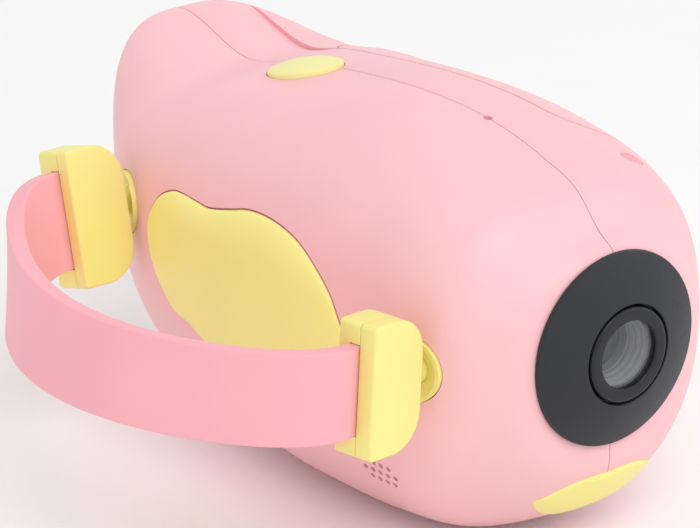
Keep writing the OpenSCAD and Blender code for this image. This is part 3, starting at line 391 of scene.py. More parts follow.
def cylinder(r, z0, z1, steps):
    return capped([circle(r, z, steps) for z in (z0, z1)])


def box(x0, y0, z0, x1, y1, z1):
    p = [(x, y, z) for x in (x0, x1) for y in (y0, y1) for z in (z0, z1)]
    return p, [(0, 1, 3, 2), (4, 6, 7, 5), (0, 4, 5, 1), (2, 3, 7, 6), (0, 2, 6, 4), (1, 5, 7, 3)]


def arc(cx, cy, r, a0, a1, n):
    angles = [a0 + (a1 - a0) * k / n for k in range(n + 1)]
    return [(cx + r * cos(a), cy + r * sin(a)) for a in angles]


def between(a, b, c, d, u):
    """Value on the smooth curve through a, b, c and d, at the share u from b to c."""
    return 0.5 * (2 * b + (c - a) * u + (2 * a - 5 * b + 4 * c - d) * u * u + (3 * b - a - 3 * c + d) * u ** 3)


def smooth_loop(points, steps=6):
    """Closed smooth curve through the points."""
    out, n = [], len(points)
    for i in range(n):
        near = [points[(i + k) % n] for k in (-1, 0, 1, 2)]
        out += [tuple(between(*values, k / steps) for values in zip(*near)) for k in range(steps)]
    return out


def apply_modifier(obj, kind, **values):
    mod = obj.modifiers.new(kind.lower(), kind)
    for key, value in values.items():
        setattr(mod, key, value)
    graph = bpy.context.evaluated_depsgraph_get()
    mesh = bpy.data.meshes.new_from_object(obj.evaluated_get(graph))
    obj.modifiers.clear()
    old = obj.data
    obj.data = mesh
    bpy.data.meshes.remove(old)


def cut(obj, *tools):
    """Takes the tools' meshes, in the lens frame, out of an object."""
    cutter = new_object("cutter", *merged(*tools))
    apply_modifier(obj, "BOOLEAN", operation="DIFFERENCE", solver="EXACT", object=cutter)
    mesh = cutter.data
    bpy.data.objects.remove(cutter)
    bpy.data.meshes.remove(mesh)


def soften(obj, width, angle=50, segments=2):
    apply_modifier(obj, "BEVEL", width=width * MM, segments=segments, limit_method="ANGLE",
                   angle_limit=math.radians(angle), harden_normals=False)


def turned(name, profile, place, steps):
    return new_object(name, *placed(lathe(profile, steps), place))


def finish_piece(obj, look, body, nodes, sharp=32):
    obj.data.materials.clear()
    obj.data.materials.append(look)
    obj.data.shade_smooth()
    obj.data.set_sharp_from_angle(angle=math.radians(sharp))
    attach(obj, body)
    if nodes:
        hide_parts(*nodes)


# Materials


def linear(*rgb):
    """Linear colour of an sRGB colour given in 0 to 255."""
    return [c / 255 / 12.92 if c <= 10.31 else ((c / 255 + 0.055) / 1.055) ** 2.4 for c in rgb]


def material(name, rgb, roughness=0.45, vary=0.05, grain=900.0, bump=0.06, coat=0.0, specular=0.5,
             sheen=0.0, metallic=0.0, rough_vary=0.08, alpha=1.0):
    """Moulded surface: slow tone drift, a fine moulding grain in bump and roughness."""
    mat = bpy.data.materials.new(name)
    mat.use_nodes = True
    nodes, links = mat.node_tree.nodes, mat.node_tree.links
    shader = nodes["Principled BSDF"]
    place = nodes.new("ShaderNodeTexCoord")
    drift, fine = nodes.new("ShaderNodeTexNoise"), nodes.new("ShaderNodeTexNoise")
    for noise, scale, detail in ((drift, DRIFT_SCALE, DRIFT_DETAIL), (fine, grain, GRAIN_DETAIL)):
        noise.inputs["Scale"].default_value = scale
        noise.inputs["Detail"].default_value = detail
        links.new(place.outputs["Object"], noise.inputs["Vector"])
    ramp = nodes.new("ShaderNodeValToRGB")
    base = linear(*rgb)
    stops = ramp.color_ramp.elements
    stops[0].position, stops[1].position = DRIFT_RANGE
    stops[0].color = (*[c * (1 - vary) for c in base], 1)
    stops[1].color = (*[min(1.0, c * (1 + vary * DRIFT_LIFT)) for c in base], 1)
    links.new(drift.outputs["Fac"], ramp.inputs["Fac"])
    links.new(ramp.outputs["Color"], shader.inputs["Base Color"])
    rough = nodes.new("ShaderNodeMapRange")
    rough.inputs["To Min"].default_value = max(0.02, roughness - rough_vary)
    rough.inputs["To Max"].default_value = min(1.0, roughness + rough_vary)
    links.new(fine.outputs["Fac"], rough.inputs["Value"])
    links.new(rough.outputs["Result"], shader.inputs["Roughness"])
    relief = nodes.new("ShaderNodeBump")
    relief.inputs["Strength"].default_value = bump
    relief.inputs["Distance"].default_value = GRAIN_DEPTH
    links.new(fine.outputs["Fac"], relief.inputs["Height"])
    links.new(relief.outputs["Normal"], shader.inputs["Normal"])
    values = {"Specular IOR Level": specular, "Coat Weight": coat, "Coat Roughness": COAT_ROUGHNESS,
              "Sheen Weight": sheen, "Metallic": metallic, "Alpha": alpha}
    for key, value in values.items():
        shader.inputs[key].default_value = value
    return mat


PINK = material("pink_plastic", (251, 195, 200), roughness=0.42)
STRAP = material("pink_rubber", (252, 177, 187), roughness=0.6, sheen=0.15, grain=1400, bump=0.1)
YELLOW = material("yellow_plastic", (249, 239, 146), roughness=0.42)
WING = material("wing_plastic", (253, 245, 149), roughness=0.38)
BUTTON = material("button_plastic", (246, 238, 160), roughness=0.4)
BEZEL = material("bezel_plastic", (46, 47, 52), roughness=0.45, specular=0.28)
RING = material("ring_plastic", (28, 29, 33), roughness=0.35, specular=0.35)
BARREL = material("barrel_plastic", (214, 215, 219), roughness=0.25, specular=0.6)
GLASS = material("lens_window", (70, 71, 76), roughness=0.1, coat=0.5, bump=0.0, vary=0.1, rough_vary=0.02,
                 alpha=0.22)
LENS_GLASS = material("inner_glass", (150, 152, 158), roughness=0.08, coat=1.0, bump=0.0, rough_vary=0.02)
DARK = material("dark_plastic", (52, 52, 55), roughness=0.5)
SCREEN = material("screen_glass", (22, 22, 26), roughness=0.1, coat=1.0, bump=0.0)
WHITE = material("key_plastic", (236, 232, 226), roughness=0.45)
RED = material("record_plastic", (206, 70, 66), roughness=0.42)
BOARD = material("circuit_board", (36, 92, 56), roughness=0.5, vary=0.25)
STEEL = material("steel", (176, 177, 181), roughness=0.28, metallic=1.0, bump=0.03)
FOIL = material("battery_foil", (178, 180, 184), roughness=0.35, metallic=0.6)
PAPER = material("floor_paper", (252, 252, 252), roughness=0.9, vary=0.01, bump=0.0, specular=0.1)

CAD_LOOKS = {
    "front_strap_cup": YELLOW, "rear_strap_cup": YELLOW, "objective_lens": LENS_GLASS,
    "sensor_board": BOARD, "shutter_switch": DARK, "switch_board": BOARD, "screen_frame": DARK,
    "screen_panel": SCREEN, "loudspeaker": DARK, "microphone": STEEL, "main_board": BOARD,
    "battery": FOIL, "function_board": BOARD, "power_button": WHITE, "menu_button": WHITE,
    "record_button": RED, "front_case_screw": STEEL, "rear_case_screw": STEEL, "low_case_screw": STEEL,
}
for node_name, look in CAD_LOOKS.items():
    node_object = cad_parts[node_name]
    node_object.data.materials.clear()
    node_object.data.materials.append(look)


# Places of the fittings


def anchor(y, z):
    """Centre of a strap anchor's ball, and the way it faces."""
    yaw = 180 + math.degrees(math.atan2(skin_x(y + CUP_R, z) - skin_x(y - CUP_R, z), 2 * CUP_R))
    return Vector((-skin_x(y, z), y, z)) - ANCHOR_SINK * Vector((cos(yaw), sin(yaw), 0)), yaw


def at_anchor(ball, yaw, tilt=0.0, lean=0.0):
    return move(*ball) @ turn("Z", yaw) @ turn("Y", -tilt) @ turn("X", lean)


FORWARDS, SIDEWARDS = turn("X", 90), turn("Y", 90)
button_slope = skin_z(BUTTON_X, BUTTON_Y + BUTTON_R) - skin_z(BUTTON_X, BUTTON_Y - BUTTON_R)
BUTTON_LEAN = math.degrees(math.atan2(button_slope, 2 * BUTTON_R)) - BUTTON_TIP
ON_BUTTON = move(-BUTTON_X, BUTTON_Y, skin_z(BUTTON_X, BUTTON_Y)) @ turn("X", BUTTON_LEAN)
ON_SPEAKER = move(-skin_x(SPEAKER_Y, SPEAKER_Z), SPEAKER_Y, SPEAKER_Z) @ turn("Y", -90 - SPEAKER_LEAN)
HINGE_Y = LID_Y - 2 * PIN_R - LID_GAP
ON_HINGE = move(skin_x(HINGE_Y, 0), HINGE_Y, 0)
FRONT_BALL, FRONT_YAW = anchor(*FRONT_ANCHOR)
REAR_BALL, REAR_YAW = anchor(*REAR_ANCHOR)
AT_FRONT = at_anchor(FRONT_BALL, *FRONT_POSE)
ON_FRONT = AT_FRONT @ move(FRONT_SHIFT, 0, 0)
ON_REAR = at_anchor(REAR_BALL, *REAR_POSE)


# Shells


def shell_solid(chain, seam_x):
    """Closed half shell from its chain of rows, with a flat seam face as one ngon."""
    chain = [[(seam_x, *row[0][1:])] + row[1:-1] + [(seam_x, *row[-1][1:])] for row in chain]
    points, faces = grid(chain)
    cols, last = len(chain[0]), len(chain) - 1
    there = [k * cols for k in range(last + 1)]
    back = [k * cols + cols - 1 for k in range(last - 1, 0, -1)]
    return points, faces + [tuple(there + back)]


def pole(count, y, seam_x):
    s = section(y)
    return [(seam_x, y, (s.top + s.low) / 2)] * count


def opening_row(angles, y):
    return [(OPENING_R * cos(a), y, OPENING_R * sin(a)) for a in angles]


def rounded_rim(skin, side, face, steps=8):
    """Outer skin from tail to rim, its front edge rounded off onto the face's opening row."""
    rows = [[] for _ in range(steps + 1)]
    for start, corner, opening in zip(side, skin[0], face):
        start, corner, across = Vector(start), Vector(corner), Vector(opening) - Vector(corner)
        end = corner + across * min(RIM_MOST, RIM_FACE / across.length)
        for k, row in enumerate(rows):
            u = k / steps
            row.append(tuple((1 - u) ** 2 * start + 2 * u * (1 - u) * corner + u * u * end))
    return [r for r in skin if r[0][1] > side[0][1] + RIM_CLEAR][::-1] + rows


STRAP_ANGLES = [90 + 180 * j / STRAP_COLS for j in range(STRAP_COLS + 1)]


def strap_row(y, d):
    s = section(y, d)
    return [ring_point(s, y, a, d) for a in STRAP_ANGLES]


def strap_skin(d, rows=110):
    ys = [d + (BODY_L - 2 * d) * eased(i, rows) for i in range(rows)]
    return [strap_row(y, d) for y in ys] + [pole(len(STRAP_ANGLES), BODY_L - d, -SEAM)]


def strap_chain():
    face = opening_row(STRAP_ANGLES, 0)
    return (rounded_rim(strap_skin(0.0), strap_row(RIM_SIDE, 0), face)
            + [face, opening_row(STRAP_ANGLES, WALL)] + strap_skin(WALL))


def bay_front(g):
    return LID_Y - LID_GAP - g


def bay_rear(g):
    return LID_Y + LID_L + BAY_REAR_GAPS * LID_GAP + g


def edge_step(y, g):
    """How far the bay's edge draws in at its rounded corners."""
    r = LID_CORNER + g
    dist = min(y - bay_front(g), bay_rear(g) - y)
    return 0.0 if dist >= r else r - math.sqrt(r * r - (r - max(dist, 0.0)) ** 2)


def top_angle(y, g, d):
    s = section(y, d)
    share = min(1.0, (LID_EDGE_X - g + edge_step(y, g)) / s.half_w)
    return math.degrees(math.acos(share ** (s.screen_power / 2)))


def low_angle(y, g, d):
    s = section(y, d)
    share = min(1.0, (s.wide_z + LID_LOW + g - edge_step(y, g)) / (s.wide_z - s.low))
    return -math.degrees(math.asin(share ** (s.lower_power / 2)))


SCREEN_COLS = [(band, j / n) for band, n in enumerate(BAND_STEPS) for j in range(n + 1)]


def screen_angles(y, g, d):
    inside = min(max(y, bay_front(g)), bay_rear(g))
    edges = (90.0, top_angle(inside, g, d), low_angle(inside, g, d), -90.0)
    return [edges[b] * (1 - u) + edges[b + 1] * u for b, u in SCREEN_COLS]


def floor_point(y, a, d, limit):
    """Point of the skin drawn in by d, no further out than the limit."""
    x, y, z = ring_point(section(y, d), y, a, d)
    return (min(x, limit), y, z)


def screen_row(y, inside, d):
    s = section(y, d)
    row = []
    for (band, _), a in zip(SCREEN_COLS, screen_angles(y, d, d)):
        if inside and band == LID_BAND:
            row.append(floor_point(y, a, LID_T + BAY_GAP + d, BAY_FLOOR_X - d))
        else:
            row.append(ring_point(s, y, a, d))
    return row


def screen_skin(d, front=26, bay=64, rear=34):
    y0, y1, end = bay_front(d), bay_rear(d), BODY_L - d
    rows = [screen_row(d + (y0 - d) * (1 - cos(90 * i / front)), False, d) for i in range(front + 1)]
    rows += [screen_row(y0 + (y1 - y0) * eased(i, bay), True, d) for i in range(bay + 1)]
    rows += [screen_row(y1 + (end - y1) * sin(90 * i / rear), False, d) for i in range(rear)]
    return rows + [pole(len(SCREEN_COLS), end, SEAM)]


def screen_chain():
    angles = screen_angles(0, 0, 0)
    face = opening_row(angles, 0)
    return (rounded_rim(screen_skin(0.0), screen_row(RIM_SIDE, False, 0), face)
            + [face, opening_row(angles, WALL)] + screen_skin(WALL))


# Tools that open the shells


def speaker_tools():
    tools = []
    hole = cylinder(SPEAKER_HOLE_R, -2 * WALL, WALL, 20)
    for i, count in enumerate(SPEAKER_ROWS):
        for j in range(count):
            at = move((1 - i) * SPEAKER_PITCH, (j - (count - 1) / 2) * SPEAKER_PITCH, 0)
            tools.append(placed(hole, ON_SPEAKER @ at))
    return tools


WING_LOOP = smooth_loop(WING_OUTLINE)


def wing_joint():
    """Ring-shaped tool that opens a thin joint around the wing."""
    corners = ((-WING_JOINT_IN, -WING_JOINT_DEEP), (WING_JOINT_W, -WING_JOINT_DEEP), (WING_JOINT_W, OVER),
               (-WING_JOINT_IN, OVER))
    rings = []
    for grow, rise in corners:
        ring = []
        for s in WING_LOOP:
            y, z = s[0] * WING_L / 2, s[1] * WING_H / 2
            k = 1 + grow / math.hypot(y, z)
            y, z = WING_Y + k * y, WING_Z + k * z
            ring.append((-skin_x(y, z) - rise, y, z))
        rings.append(ring)
    return grid(rings + rings[:1], wrap=True)


def skin_frame(y, a, e=0.5):
    """Directions around the section and out of the skin, from points e to each side."""
    along = Vector(skin_point(y + e, a)) - Vector(skin_point(y - e, a))
    around = Vector(skin_point(y, a + e)) - Vector(skin_point(y, a - e))
    return around.normalized(), along.cross(around).normalized()


def dent(steps=40):
    """Oval pocket in the skin, long around the section."""
    around, out = skin_frame(DENT_Y, DENT_ANGLE)
    facing = Matrix((around, out.cross(around), out)).transposed().to_4x4()
    levels = [(2 * OVER, DENT_LIP), (0.0, 1.0)] + [(-share * DENT_DEPTH, k) for share, k in DENT_LEVELS]
    angles = [360 * j / steps for j in range(steps)]
    pocket = capped([[(DENT_LONG_R * k * cos(a), DENT_WIDE_R * k * sin(a), h) for a in angles]
                     for h, k in levels])
    return placed(pocket, move(*skin_point(DENT_Y, DENT_ANGLE)) @ facing)


def ease(u):
    u = min(1.0, max(0.0, u))
    return u * u * (3 - 2 * u)


def hump_line(steps=66):
    """Groove and step that carry the lid's top edge line on over the hump."""
    groove, step = [], []
    for k in range(steps + 1):
        y = HUMP_START + (HUMP_END - HUMP_START) * k / steps
        fade = 1 - (k / steps) ** HUMP_FADE
        x0 = LID_EDGE_X + HUMP_DRIFT * ease((y - HUMP_DRIFT_FROM) / HUMP_DRIFT_L)
        x1, near, lap = x0 + LID_GAP, x0 - HUMP_STEP_W, x0 + 5 * HUMP_THIN
        deep = 2 * HUMP_THIN + HUMP_GROOVE * fade
        drop = HUMP_THIN + HUMP_STEP * fade * ease((y - HUMP_STEP_FROM) / HUMP_STEP_L)
        z0, z1, zn = (screen_z(x, y) for x in (x0, x1, near))
        groove.append([(x0, y, z0 - deep), (x1, y, z1 - deep), (x1, y, z1 + OVER), (x0, y, z0 + OVER)])
        step.append([(near, y, zn - HUMP_THIN / 2), (lap, y, z0 - drop), (lap, y, z0 + OVER),
                     (near, y, zn + OVER)])
    return capped(groove), capped(step)


def bay_hole(r, share, z, steps):
    """Hole through the bay's floor at a share of the lid's length."""
    return placed(cylinder(r + FIT, -2 * WALL, WALL, steps),
                  move(BAY_FLOOR_X, LID_Y + share * LID_L, z) @ SIDEWARDS)


button_hole = placed(cylinder(BUTTON_R + FIT, -2 * WALL, 2 * WALL, 72), ON_BUTTON)
mic_hole = placed(cylinder(MIC_HOLE_R, -2 * WALL, WALL, 24), move(0, MIC_Y, skin_z(0, MIC_Y)))
cup_tool = placed(cylinder(CUP_R + FIT, ANCHOR_SINK - CUP_L - OVER, ANCHOR_SINK + 2 * OVER, 64), SIDEWARDS)
cup_holes = [placed(cup_tool, at_anchor(ball, yaw))
             for ball, yaw in ((FRONT_BALL, FRONT_YAW), (REAR_BALL, REAR_YAW))]
key_holes = [bay_hole(KEY_R, share, KEY_Z, 48) for share in KEY_SHARES]
screw_wells = [bay_hole(SCREW_R, share, rise * BODY_UP, 32) for share, rise in SCREW_SHARES]
hinge_room = placed(cylinder(HINGE_ROOM * HINGE_R, -HINGE_HALF - CLEAR, HINGE_HALF + CLEAR, 64), ON_HINGE)

strap_shell = new_object("strap_side_shell_skin", *shell_solid(strap_chain(), -SEAM))
soften(strap_shell, width=0.12)
cut(strap_shell, button_hole, mic_hole, *cup_holes, *speaker_tools())
cut(strap_shell, wing_joint())
finish_piece(strap_shell, PINK, "housing", ["strap_side_shell"], sharp=64)

screen_shell = new_object("screen_side_shell_skin", *shell_solid(screen_chain(), SEAM))
soften(screen_shell, width=0.15)
cut(screen_shell, button_hole, mic_hole, hinge_room, dent(), *key_holes, *screw_wells)
for tool in hump_line():
    cut(screen_shell, tool)
finish_piece(screen_shell, PINK, "housing", ["screen_side_shell"], sharp=64)


# Screen lid and hinge


def lid_rows(inner, rows=72, cols=56):
    out = []
    g = -LID_GAP - (LID_DRAFT if inner else 0)
    for i in range(rows + 1):
        y = LID_Y + LID_L * eased(i, rows)
        a, b = top_angle(y, g, 0), low_angle(y, g, 0)
        angles = [a + (b - a) * j / cols for j in range(cols + 1)]
        out.append([floor_point(y, c, LID_T, LID_IN_X) if inner else skin_point(y, c) for c in angles])
    return out


def panel_pocket(margin, depth):
    """Pocket from the lid's inner face for the panel, or with a margin for its frame."""
    y = LID_Y + PANEL_SHARE * LID_L
    w, h = PANEL_W + 2 * margin + 2 * FIT, PANEL_H + 2 * margin + 2 * FIT
    return box(LID_IN_X - OVER, y - w / 2, PANEL_Z - h / 2, LID_IN_X + depth, y + w / 2, PANEL_Z + h / 2)


lid = new_object("screen_lid_shell", *slab(lid_rows(False), lid_rows(True)))
soften(lid, width=0.2)
cut(lid, panel_pocket(FRAME_MARGIN, FRAME_T))
cut(lid, panel_pocket(0, FRAME_T + PANEL_T))
finish_piece(lid, PINK, "screen", ["screen_lid"])

bore_r, shoulder_r, shoulder_z = PIN_R + PIN_PLAY, HINGE_R - HINGE_CHAMFER, HINGE_HALF - HINGE_CHAMFER
knuckle = lathe([(bore_r, -HINGE_HALF), (shoulder_r, -HINGE_HALF), (HINGE_R, -shoulder_z),
                 (HINGE_R, shoulder_z), (shoulder_r, HINGE_HALF), (bore_r, HINGE_HALF),
                 (bore_r, -HINGE_HALF)], 48)
web = box(-WEB_DEEP * HINGE_R, PIN_R + WEB_GAP, -HINGE_HALF, 0, LID_Y - HINGE_Y + WEB_REACH, HINGE_HALF)
hinge_knuckle = new_object("screen_hinge_knuckle", *placed(merged(knuckle, web), ON_HINGE))
finish_piece(hinge_knuckle, PINK, "screen", [])

lug_foot = [(AXIS_R, -LUG_SINK), (LUG_R - LUG_CHAMFER, -LUG_SINK), (LUG_R, LUG_CHAMFER - LUG_SINK)]
lug_dome = [(max(AXIS_R, LUG_R * cos(a)), LUG_L - LUG_R + LUG_R * sin(a)) for a in range(0, 91, 10)]
lug = lathe(lug_foot + lug_dome, 32)
lugs = [placed(lug, ON_HINGE @ turn("X", a) @ move(0, 0, HINGE_HALF + CLEAR)) for a in (0, 180)]
hinge_lugs = new_object("screen_hinge_lugs", *merged(*lugs))
finish_piece(hinge_lugs, PINK, "housing", [], sharp=60)

rod = cylinder(PIN_R, -HINGE_HALF - LUG_L / 2, HINGE_HALF + LUG_L / 2, 48)
hinge_rod = new_object("screen_hinge_rod", *placed(rod, ON_HINGE))
finish_piece(hinge_rod, STEEL, "housing", ["screen_hinge_pin"])


# Lens, turned about its axis


def dome(r):
    return BEZEL_EDGE + BEZEL_DOME * (1 - (r / BEZEL_R) ** 2)


bore_r, spigot_r = RING_R + FIT, OPENING_R - FIT
bezel_curve = [(r, dome(r)) for r in [DOME_OUT - (DOME_OUT - DOME_IN) * k / 24 for k in range(25)]]
bezel_profile = ([(bore_r, GROOVE_Z), (bore_r, -BEZEL_SPIGOT), (spigot_r, -BEZEL_SPIGOT), (spigot_r, 0)]
                 + [(BEZEL_R + dr, h) for dr, h in BEZEL_RIM] + bezel_curve
                 + [(GROOVE_R + dr, dome(GROOVE_R) + dh) for dr, dh in GROOVE_RIM]
                 + [(GROOVE_R, GROOVE_Z), (bore_r, GROOVE_Z)])
bezel = turned("lens_bezel_dome", bezel_profile, FORWARDS, 128)
finish_piece(bezel, BEZEL, "housing", ["lens_bezel"])

flange_r, ring_back = RING_R + RING_FLANGE, -BEZEL_SPIGOT - RING_FLANGE
ring_profile = ([(SEAT_R, ring_back), (flange_r, ring_back), (flange_r, -BEZEL_SPIGOT), (RING_R, -BEZEL_SPIGOT)]
                + arc(RING_R - RING_ROUND, RING_FRONT - RING_ROUND, RING_ROUND, 0, 90, 6)
                + arc(GLASS_R + LIP_ROUND, RING_FRONT - LIP_ROUND, LIP_ROUND, 90, 180, 5)
                + [(GLASS_R, LIP_Z), (SEAT_R, LIP_Z), (SEAT_R, ring_back)])
ring = turned("lens_ring_lathe", ring_profile, FORWARDS, 128)
finish_piece(ring, RING, "housing", ["lens_ring"])

glass_r, glass_in, glass_back = SEAT_R - FIT, GLASS_R - FIT, LIP_Z - GLASS_T
glass_curve = [(max(AXIS_R, glass_in * s), LIP_Z + GLASS_BULGE * (1 - s ** 2))
               for s in [1 - k / 16 for k in range(17)]]
glass_profile = [(AXIS_R, glass_back), (glass_r, glass_back), (glass_r, LIP_Z)] + glass_curve
glass = turned("front_glass_lens", glass_profile, FORWARDS, 96)
finish_piece(glass, GLASS, "housing", ["front_glass"])

barrel_r, barrel_front, barrel_back = glass_r, glass_back, glass_back - BARREL_L
barrel_in, stop_r, stop_z = barrel_r - BARREL_WALL, barrel_r - STOP_WALL, barrel_back + STOP_L
flange_r, flange_z = barrel_r + BARREL_FLANGE_W, barrel_back + BARREL_FLANGE_T
ribs = [(barrel_r - RIB_INSET - RIB_STEP * k - inwards, barrel_front - RIB_PITCH * k - backwards)
        for k in range(RIB_COUNT) for inwards, backwards in RIB_SHAPE]
barrel_profile = ([(barrel_r, barrel_front)] + ribs
                  + [(barrel_in, ribs[-1][1]), (barrel_in, stop_z), (stop_r, stop_z), (stop_r, barrel_back),
                     (flange_r, barrel_back), (flange_r, flange_z), (barrel_r, flange_z),
                     (barrel_r, barrel_front)])
barrel = turned("lens_barrel_ribs", barrel_profile, FORWARDS, 96)
finish_piece(barrel, BARREL, "housing", ["lens_barrel"])


# Photo button

flange_r, flange_z = BUTTON_R + BUTTON_FLANGE_W, -BUTTON_CAP - BUTTON_FLANGE_T
button_dome = BUTTON_RISE - BUTTON_EDGE
dome_r = (BUTTON_R ** 2 + button_dome ** 2) / (2 * button_dome)
button_curve = [(max(AXIS_R, r), BUTTON_RISE - dome_r + math.sqrt(dome_r ** 2 - r * r))
                for r in [(BUTTON_R - BUTTON_ROUND) * (1 - k / 20) for k in range(21)]]
button_profile = ([(AXIS_R, flange_z), (flange_r, flange_z), (flange_r, -BUTTON_CAP), (BUTTON_R, -BUTTON_CAP)]
                  + arc(BUTTON_R - BUTTON_ROUND, BUTTON_EDGE - BUTTON_ROUND_DROP, BUTTON_ROUND,
                        0, BUTTON_ROUND_SWEEP, 6) + button_curve)
button = turned("photo_button_cap", button_profile, ON_BUTTON, 96)
finish_piece(button, BUTTON, "photo_key", ["photo_button"])


# Wing and beak


def pillow(q, power, rim):
    """Share of a trim's rise: 1 in its middle, rim at its edge, where q is 1."""
    return rim + (1 - rim) * max(0.0, 1 - q ** power) ** 0.5


def wing_rows(raised, steps=28):
    rows = []
    for k in range(steps + 1):
        u = sin(90 * k / steps)
        h = WING_RISE * pillow(u, WING_POWER, WING_RIM) if raised else WING_UNDER
        spots = [(WING_Y + u * s[0] * WING_L / 2, WING_Z + u * s[1] * WING_H / 2) for s in WING_LOOP]
        rows.append([(-skin_x(y, z) - h, y, z) for y, z in spots])
    return rows


wing_points, wing_faces = merged(grid(wing_rows(True), wrap=True), grid(wing_rows(False), wrap=True))
around = len(WING_LOOP)
top_rim, under_rim = len(wing_points) // 2 - around, len(wing_points) - around
wing_faces += [(top_rim + j, top_rim + (j + 1) % around, under_rim + (j + 1) % around, under_rim + j)
               for j in range(around)]
wing = new_object("wing_panel_pillow", wing_points, wing_faces)
finish_piece(wing, WING, "housing", ["wing_panel"], sharp=60)


def low_point(x, y):
    return Vector((x, y, low_z(x, y)))


def low_normal(x, y, e=0.4):
    across = low_point(x + e, y) - low_point(x - e, y)
    along = low_point(x, y + e) - low_point(x, max(0.0, y - e))
    return along.cross(across).normalized()


def beak_point(u, v, raised):
    """Point at a share u of the half width and a share v from the upper edge to the lower one."""
    top = BEAK_TOP * abs(u) ** BEAK_TOP_POWER
    low = BEAK_LOW - BEAK_BOW * u ** 2 + BEAK_TIP
    x, y = u * BEAK_HALF_W * BODY_HALF_W, BODY_L * (top + (low - top) * v)
    edge = max(abs(2 * v - 1), abs(u))
    h = BEAK_RISE * pillow(edge, BEAK_POWER, BEAK_RIM) if raised else BEAK_UNDER
    return tuple(low_point(x, y) + h * low_normal(x, y))


def beak_rows(raised, rows=28, cols=64):
    return [[beak_point(2 * j / cols - 1, eased(i, rows), raised) for j in range(cols + 1)]
            for i in range(rows + 1)]


beak = new_object("beak_trim_leaf", *slab(beak_rows(True), beak_rows(False)))
finish_piece(beak, YELLOW, "housing", ["beak_trim"], sharp=60)


# Brackets; each is drawn with its ball at the origin and its strap along +X


def bracket_outline(height, inset):
    """D outline in (x, z), drawn in by inset."""
    r, e, h = BRACKET_R, BRACKET_EDGE, height / 2
    return (arc(BRACKET_OUT - e, -h + e, e - inset, -90, 0, 8)
            + arc(BRACKET_OUT - e, h - e, e - inset, 0, 90, 8)
            + arc(BRACKET_IN + r, h - r, r - inset, 90, 180, 20)
            + arc(BRACKET_IN + r, -h + r, r - inset, 180, 270, 20))


def bracket_plate(height, y0, y1, round0, round1):
    """Plate from y0 to y1 with rounded rims of the given radii."""
    levels = [(y0 + round0 * (1 - cos(a)), round0 * (1 - sin(a))) for a in PLATE_ROUND_ANGLES]
    levels += [(y1 - round1 * (1 - cos(a)), round1 * (1 - sin(a))) for a in reversed(PLATE_ROUND_ANGLES)]
    return capped([[(x, y, z) for x, z in bracket_outline(height, d)] for y, d in levels])


def knuckle_profile():
    neck, collar_r, end = math.sqrt(BALL_R ** 2 - ARM_R ** 2), ARM_R + COLLAR_RISE, BRACKET_IN + ARM_SINK
    ball = [(max(AXIS_R, BALL_R * sin(a)), -BALL_R * cos(a)) for a in range(0, 145, 8)]
    return ball + [(ARM_R, neck), (ARM_R, BRACKET_IN - COLLAR_FOOT), (collar_r, BRACKET_IN - COLLAR_TOP),
                   (collar_r, end), (AXIS_R, end)]


def bracket(name, ball_place, place, height, strap_w, back_t, face_t):
    """Back half with the strap's slot, ball knuckle, and face half."""
    back_plate = bracket_plate(height, HALVES_Y - back_t, HALVES_Y - HALF_GAP, PLATE_ROUND, JOINT_ROUND)
    face_plate = bracket_plate(height, HALVES_Y + HALF_GAP, HALVES_Y + face_t, JOINT_ROUND, PLATE_ROUND)
    slot = box(TAB_IN - FIT, STRAP_Y - TAB_T / 2 - FIT / 2, -strap_w / 2 - FIT,
               BRACKET_OUT + OVER, HALVES_Y + OVER, strap_w / 2 + FIT)
    back = new_object(name + "_back_half", *placed(back_plate, place))
    cut(back, placed(slot, place))
    finish_piece(back, YELLOW, "handle", [name + "_back"])
    arm = turned(name + "_knuckle", knuckle_profile(), ball_place @ SIDEWARDS, 48)
    finish_piece(arm, YELLOW, "handle", [], sharp=60)
    face = new_object(name + "_face_half", *placed(face_plate, place))
    finish_piece(face, YELLOW, "handle", [name + "_face"])


bracket("front_bracket", AT_FRONT, ON_FRONT, FRONT_H, FRONT_STRAP_W, *FRONT_T)
bracket("rear_bracket", ON_REAR, ON_REAR, REAR_H, REAR_STRAP_W, *REAR_T)


# Hand strap: a flat band along two bends that meet at the top of its bow


def tab_point(place, x):
    return place @ Vector((x, STRAP_Y, 0))


def way(place, *axis):
    return place.to_3x3() @ Vector(axis)


def bent(p, u):
    return (1 - u) ** 3 * p[0] + 3 * u * (1 - u) ** 2 * p[1] + 3 * u * u * (1 - u) * p[2] + u ** 3 * p[3]


def strap_share(i):
    """Share of the way from the front tab to the rear tab at the line's point i."""
    return min(1.0, max(0.0, (i - len(TABS)) / (2 * STRAP_STEPS)))


def slack(u):
    """Share of the rubber's droop and twist between its tabs, largest two thirds of the way back."""
    return SLACK_PEAK * u ** 4 * (1 - u) ** 2


def strap_section(width, thick):
    """Flat band with rounded edges."""
    w, t = width / 2, thick / 2
    r = STRAP_ROUND * t
    corners = ((w - r, t - r, 0), (-w + r, t - r, 90), (-w + r, -t + r, 180), (w - r, -t + r, 270))
    return [p for cx, cy, a in corners for p in arc(cx, cy, r, a, a + 90, 6)]


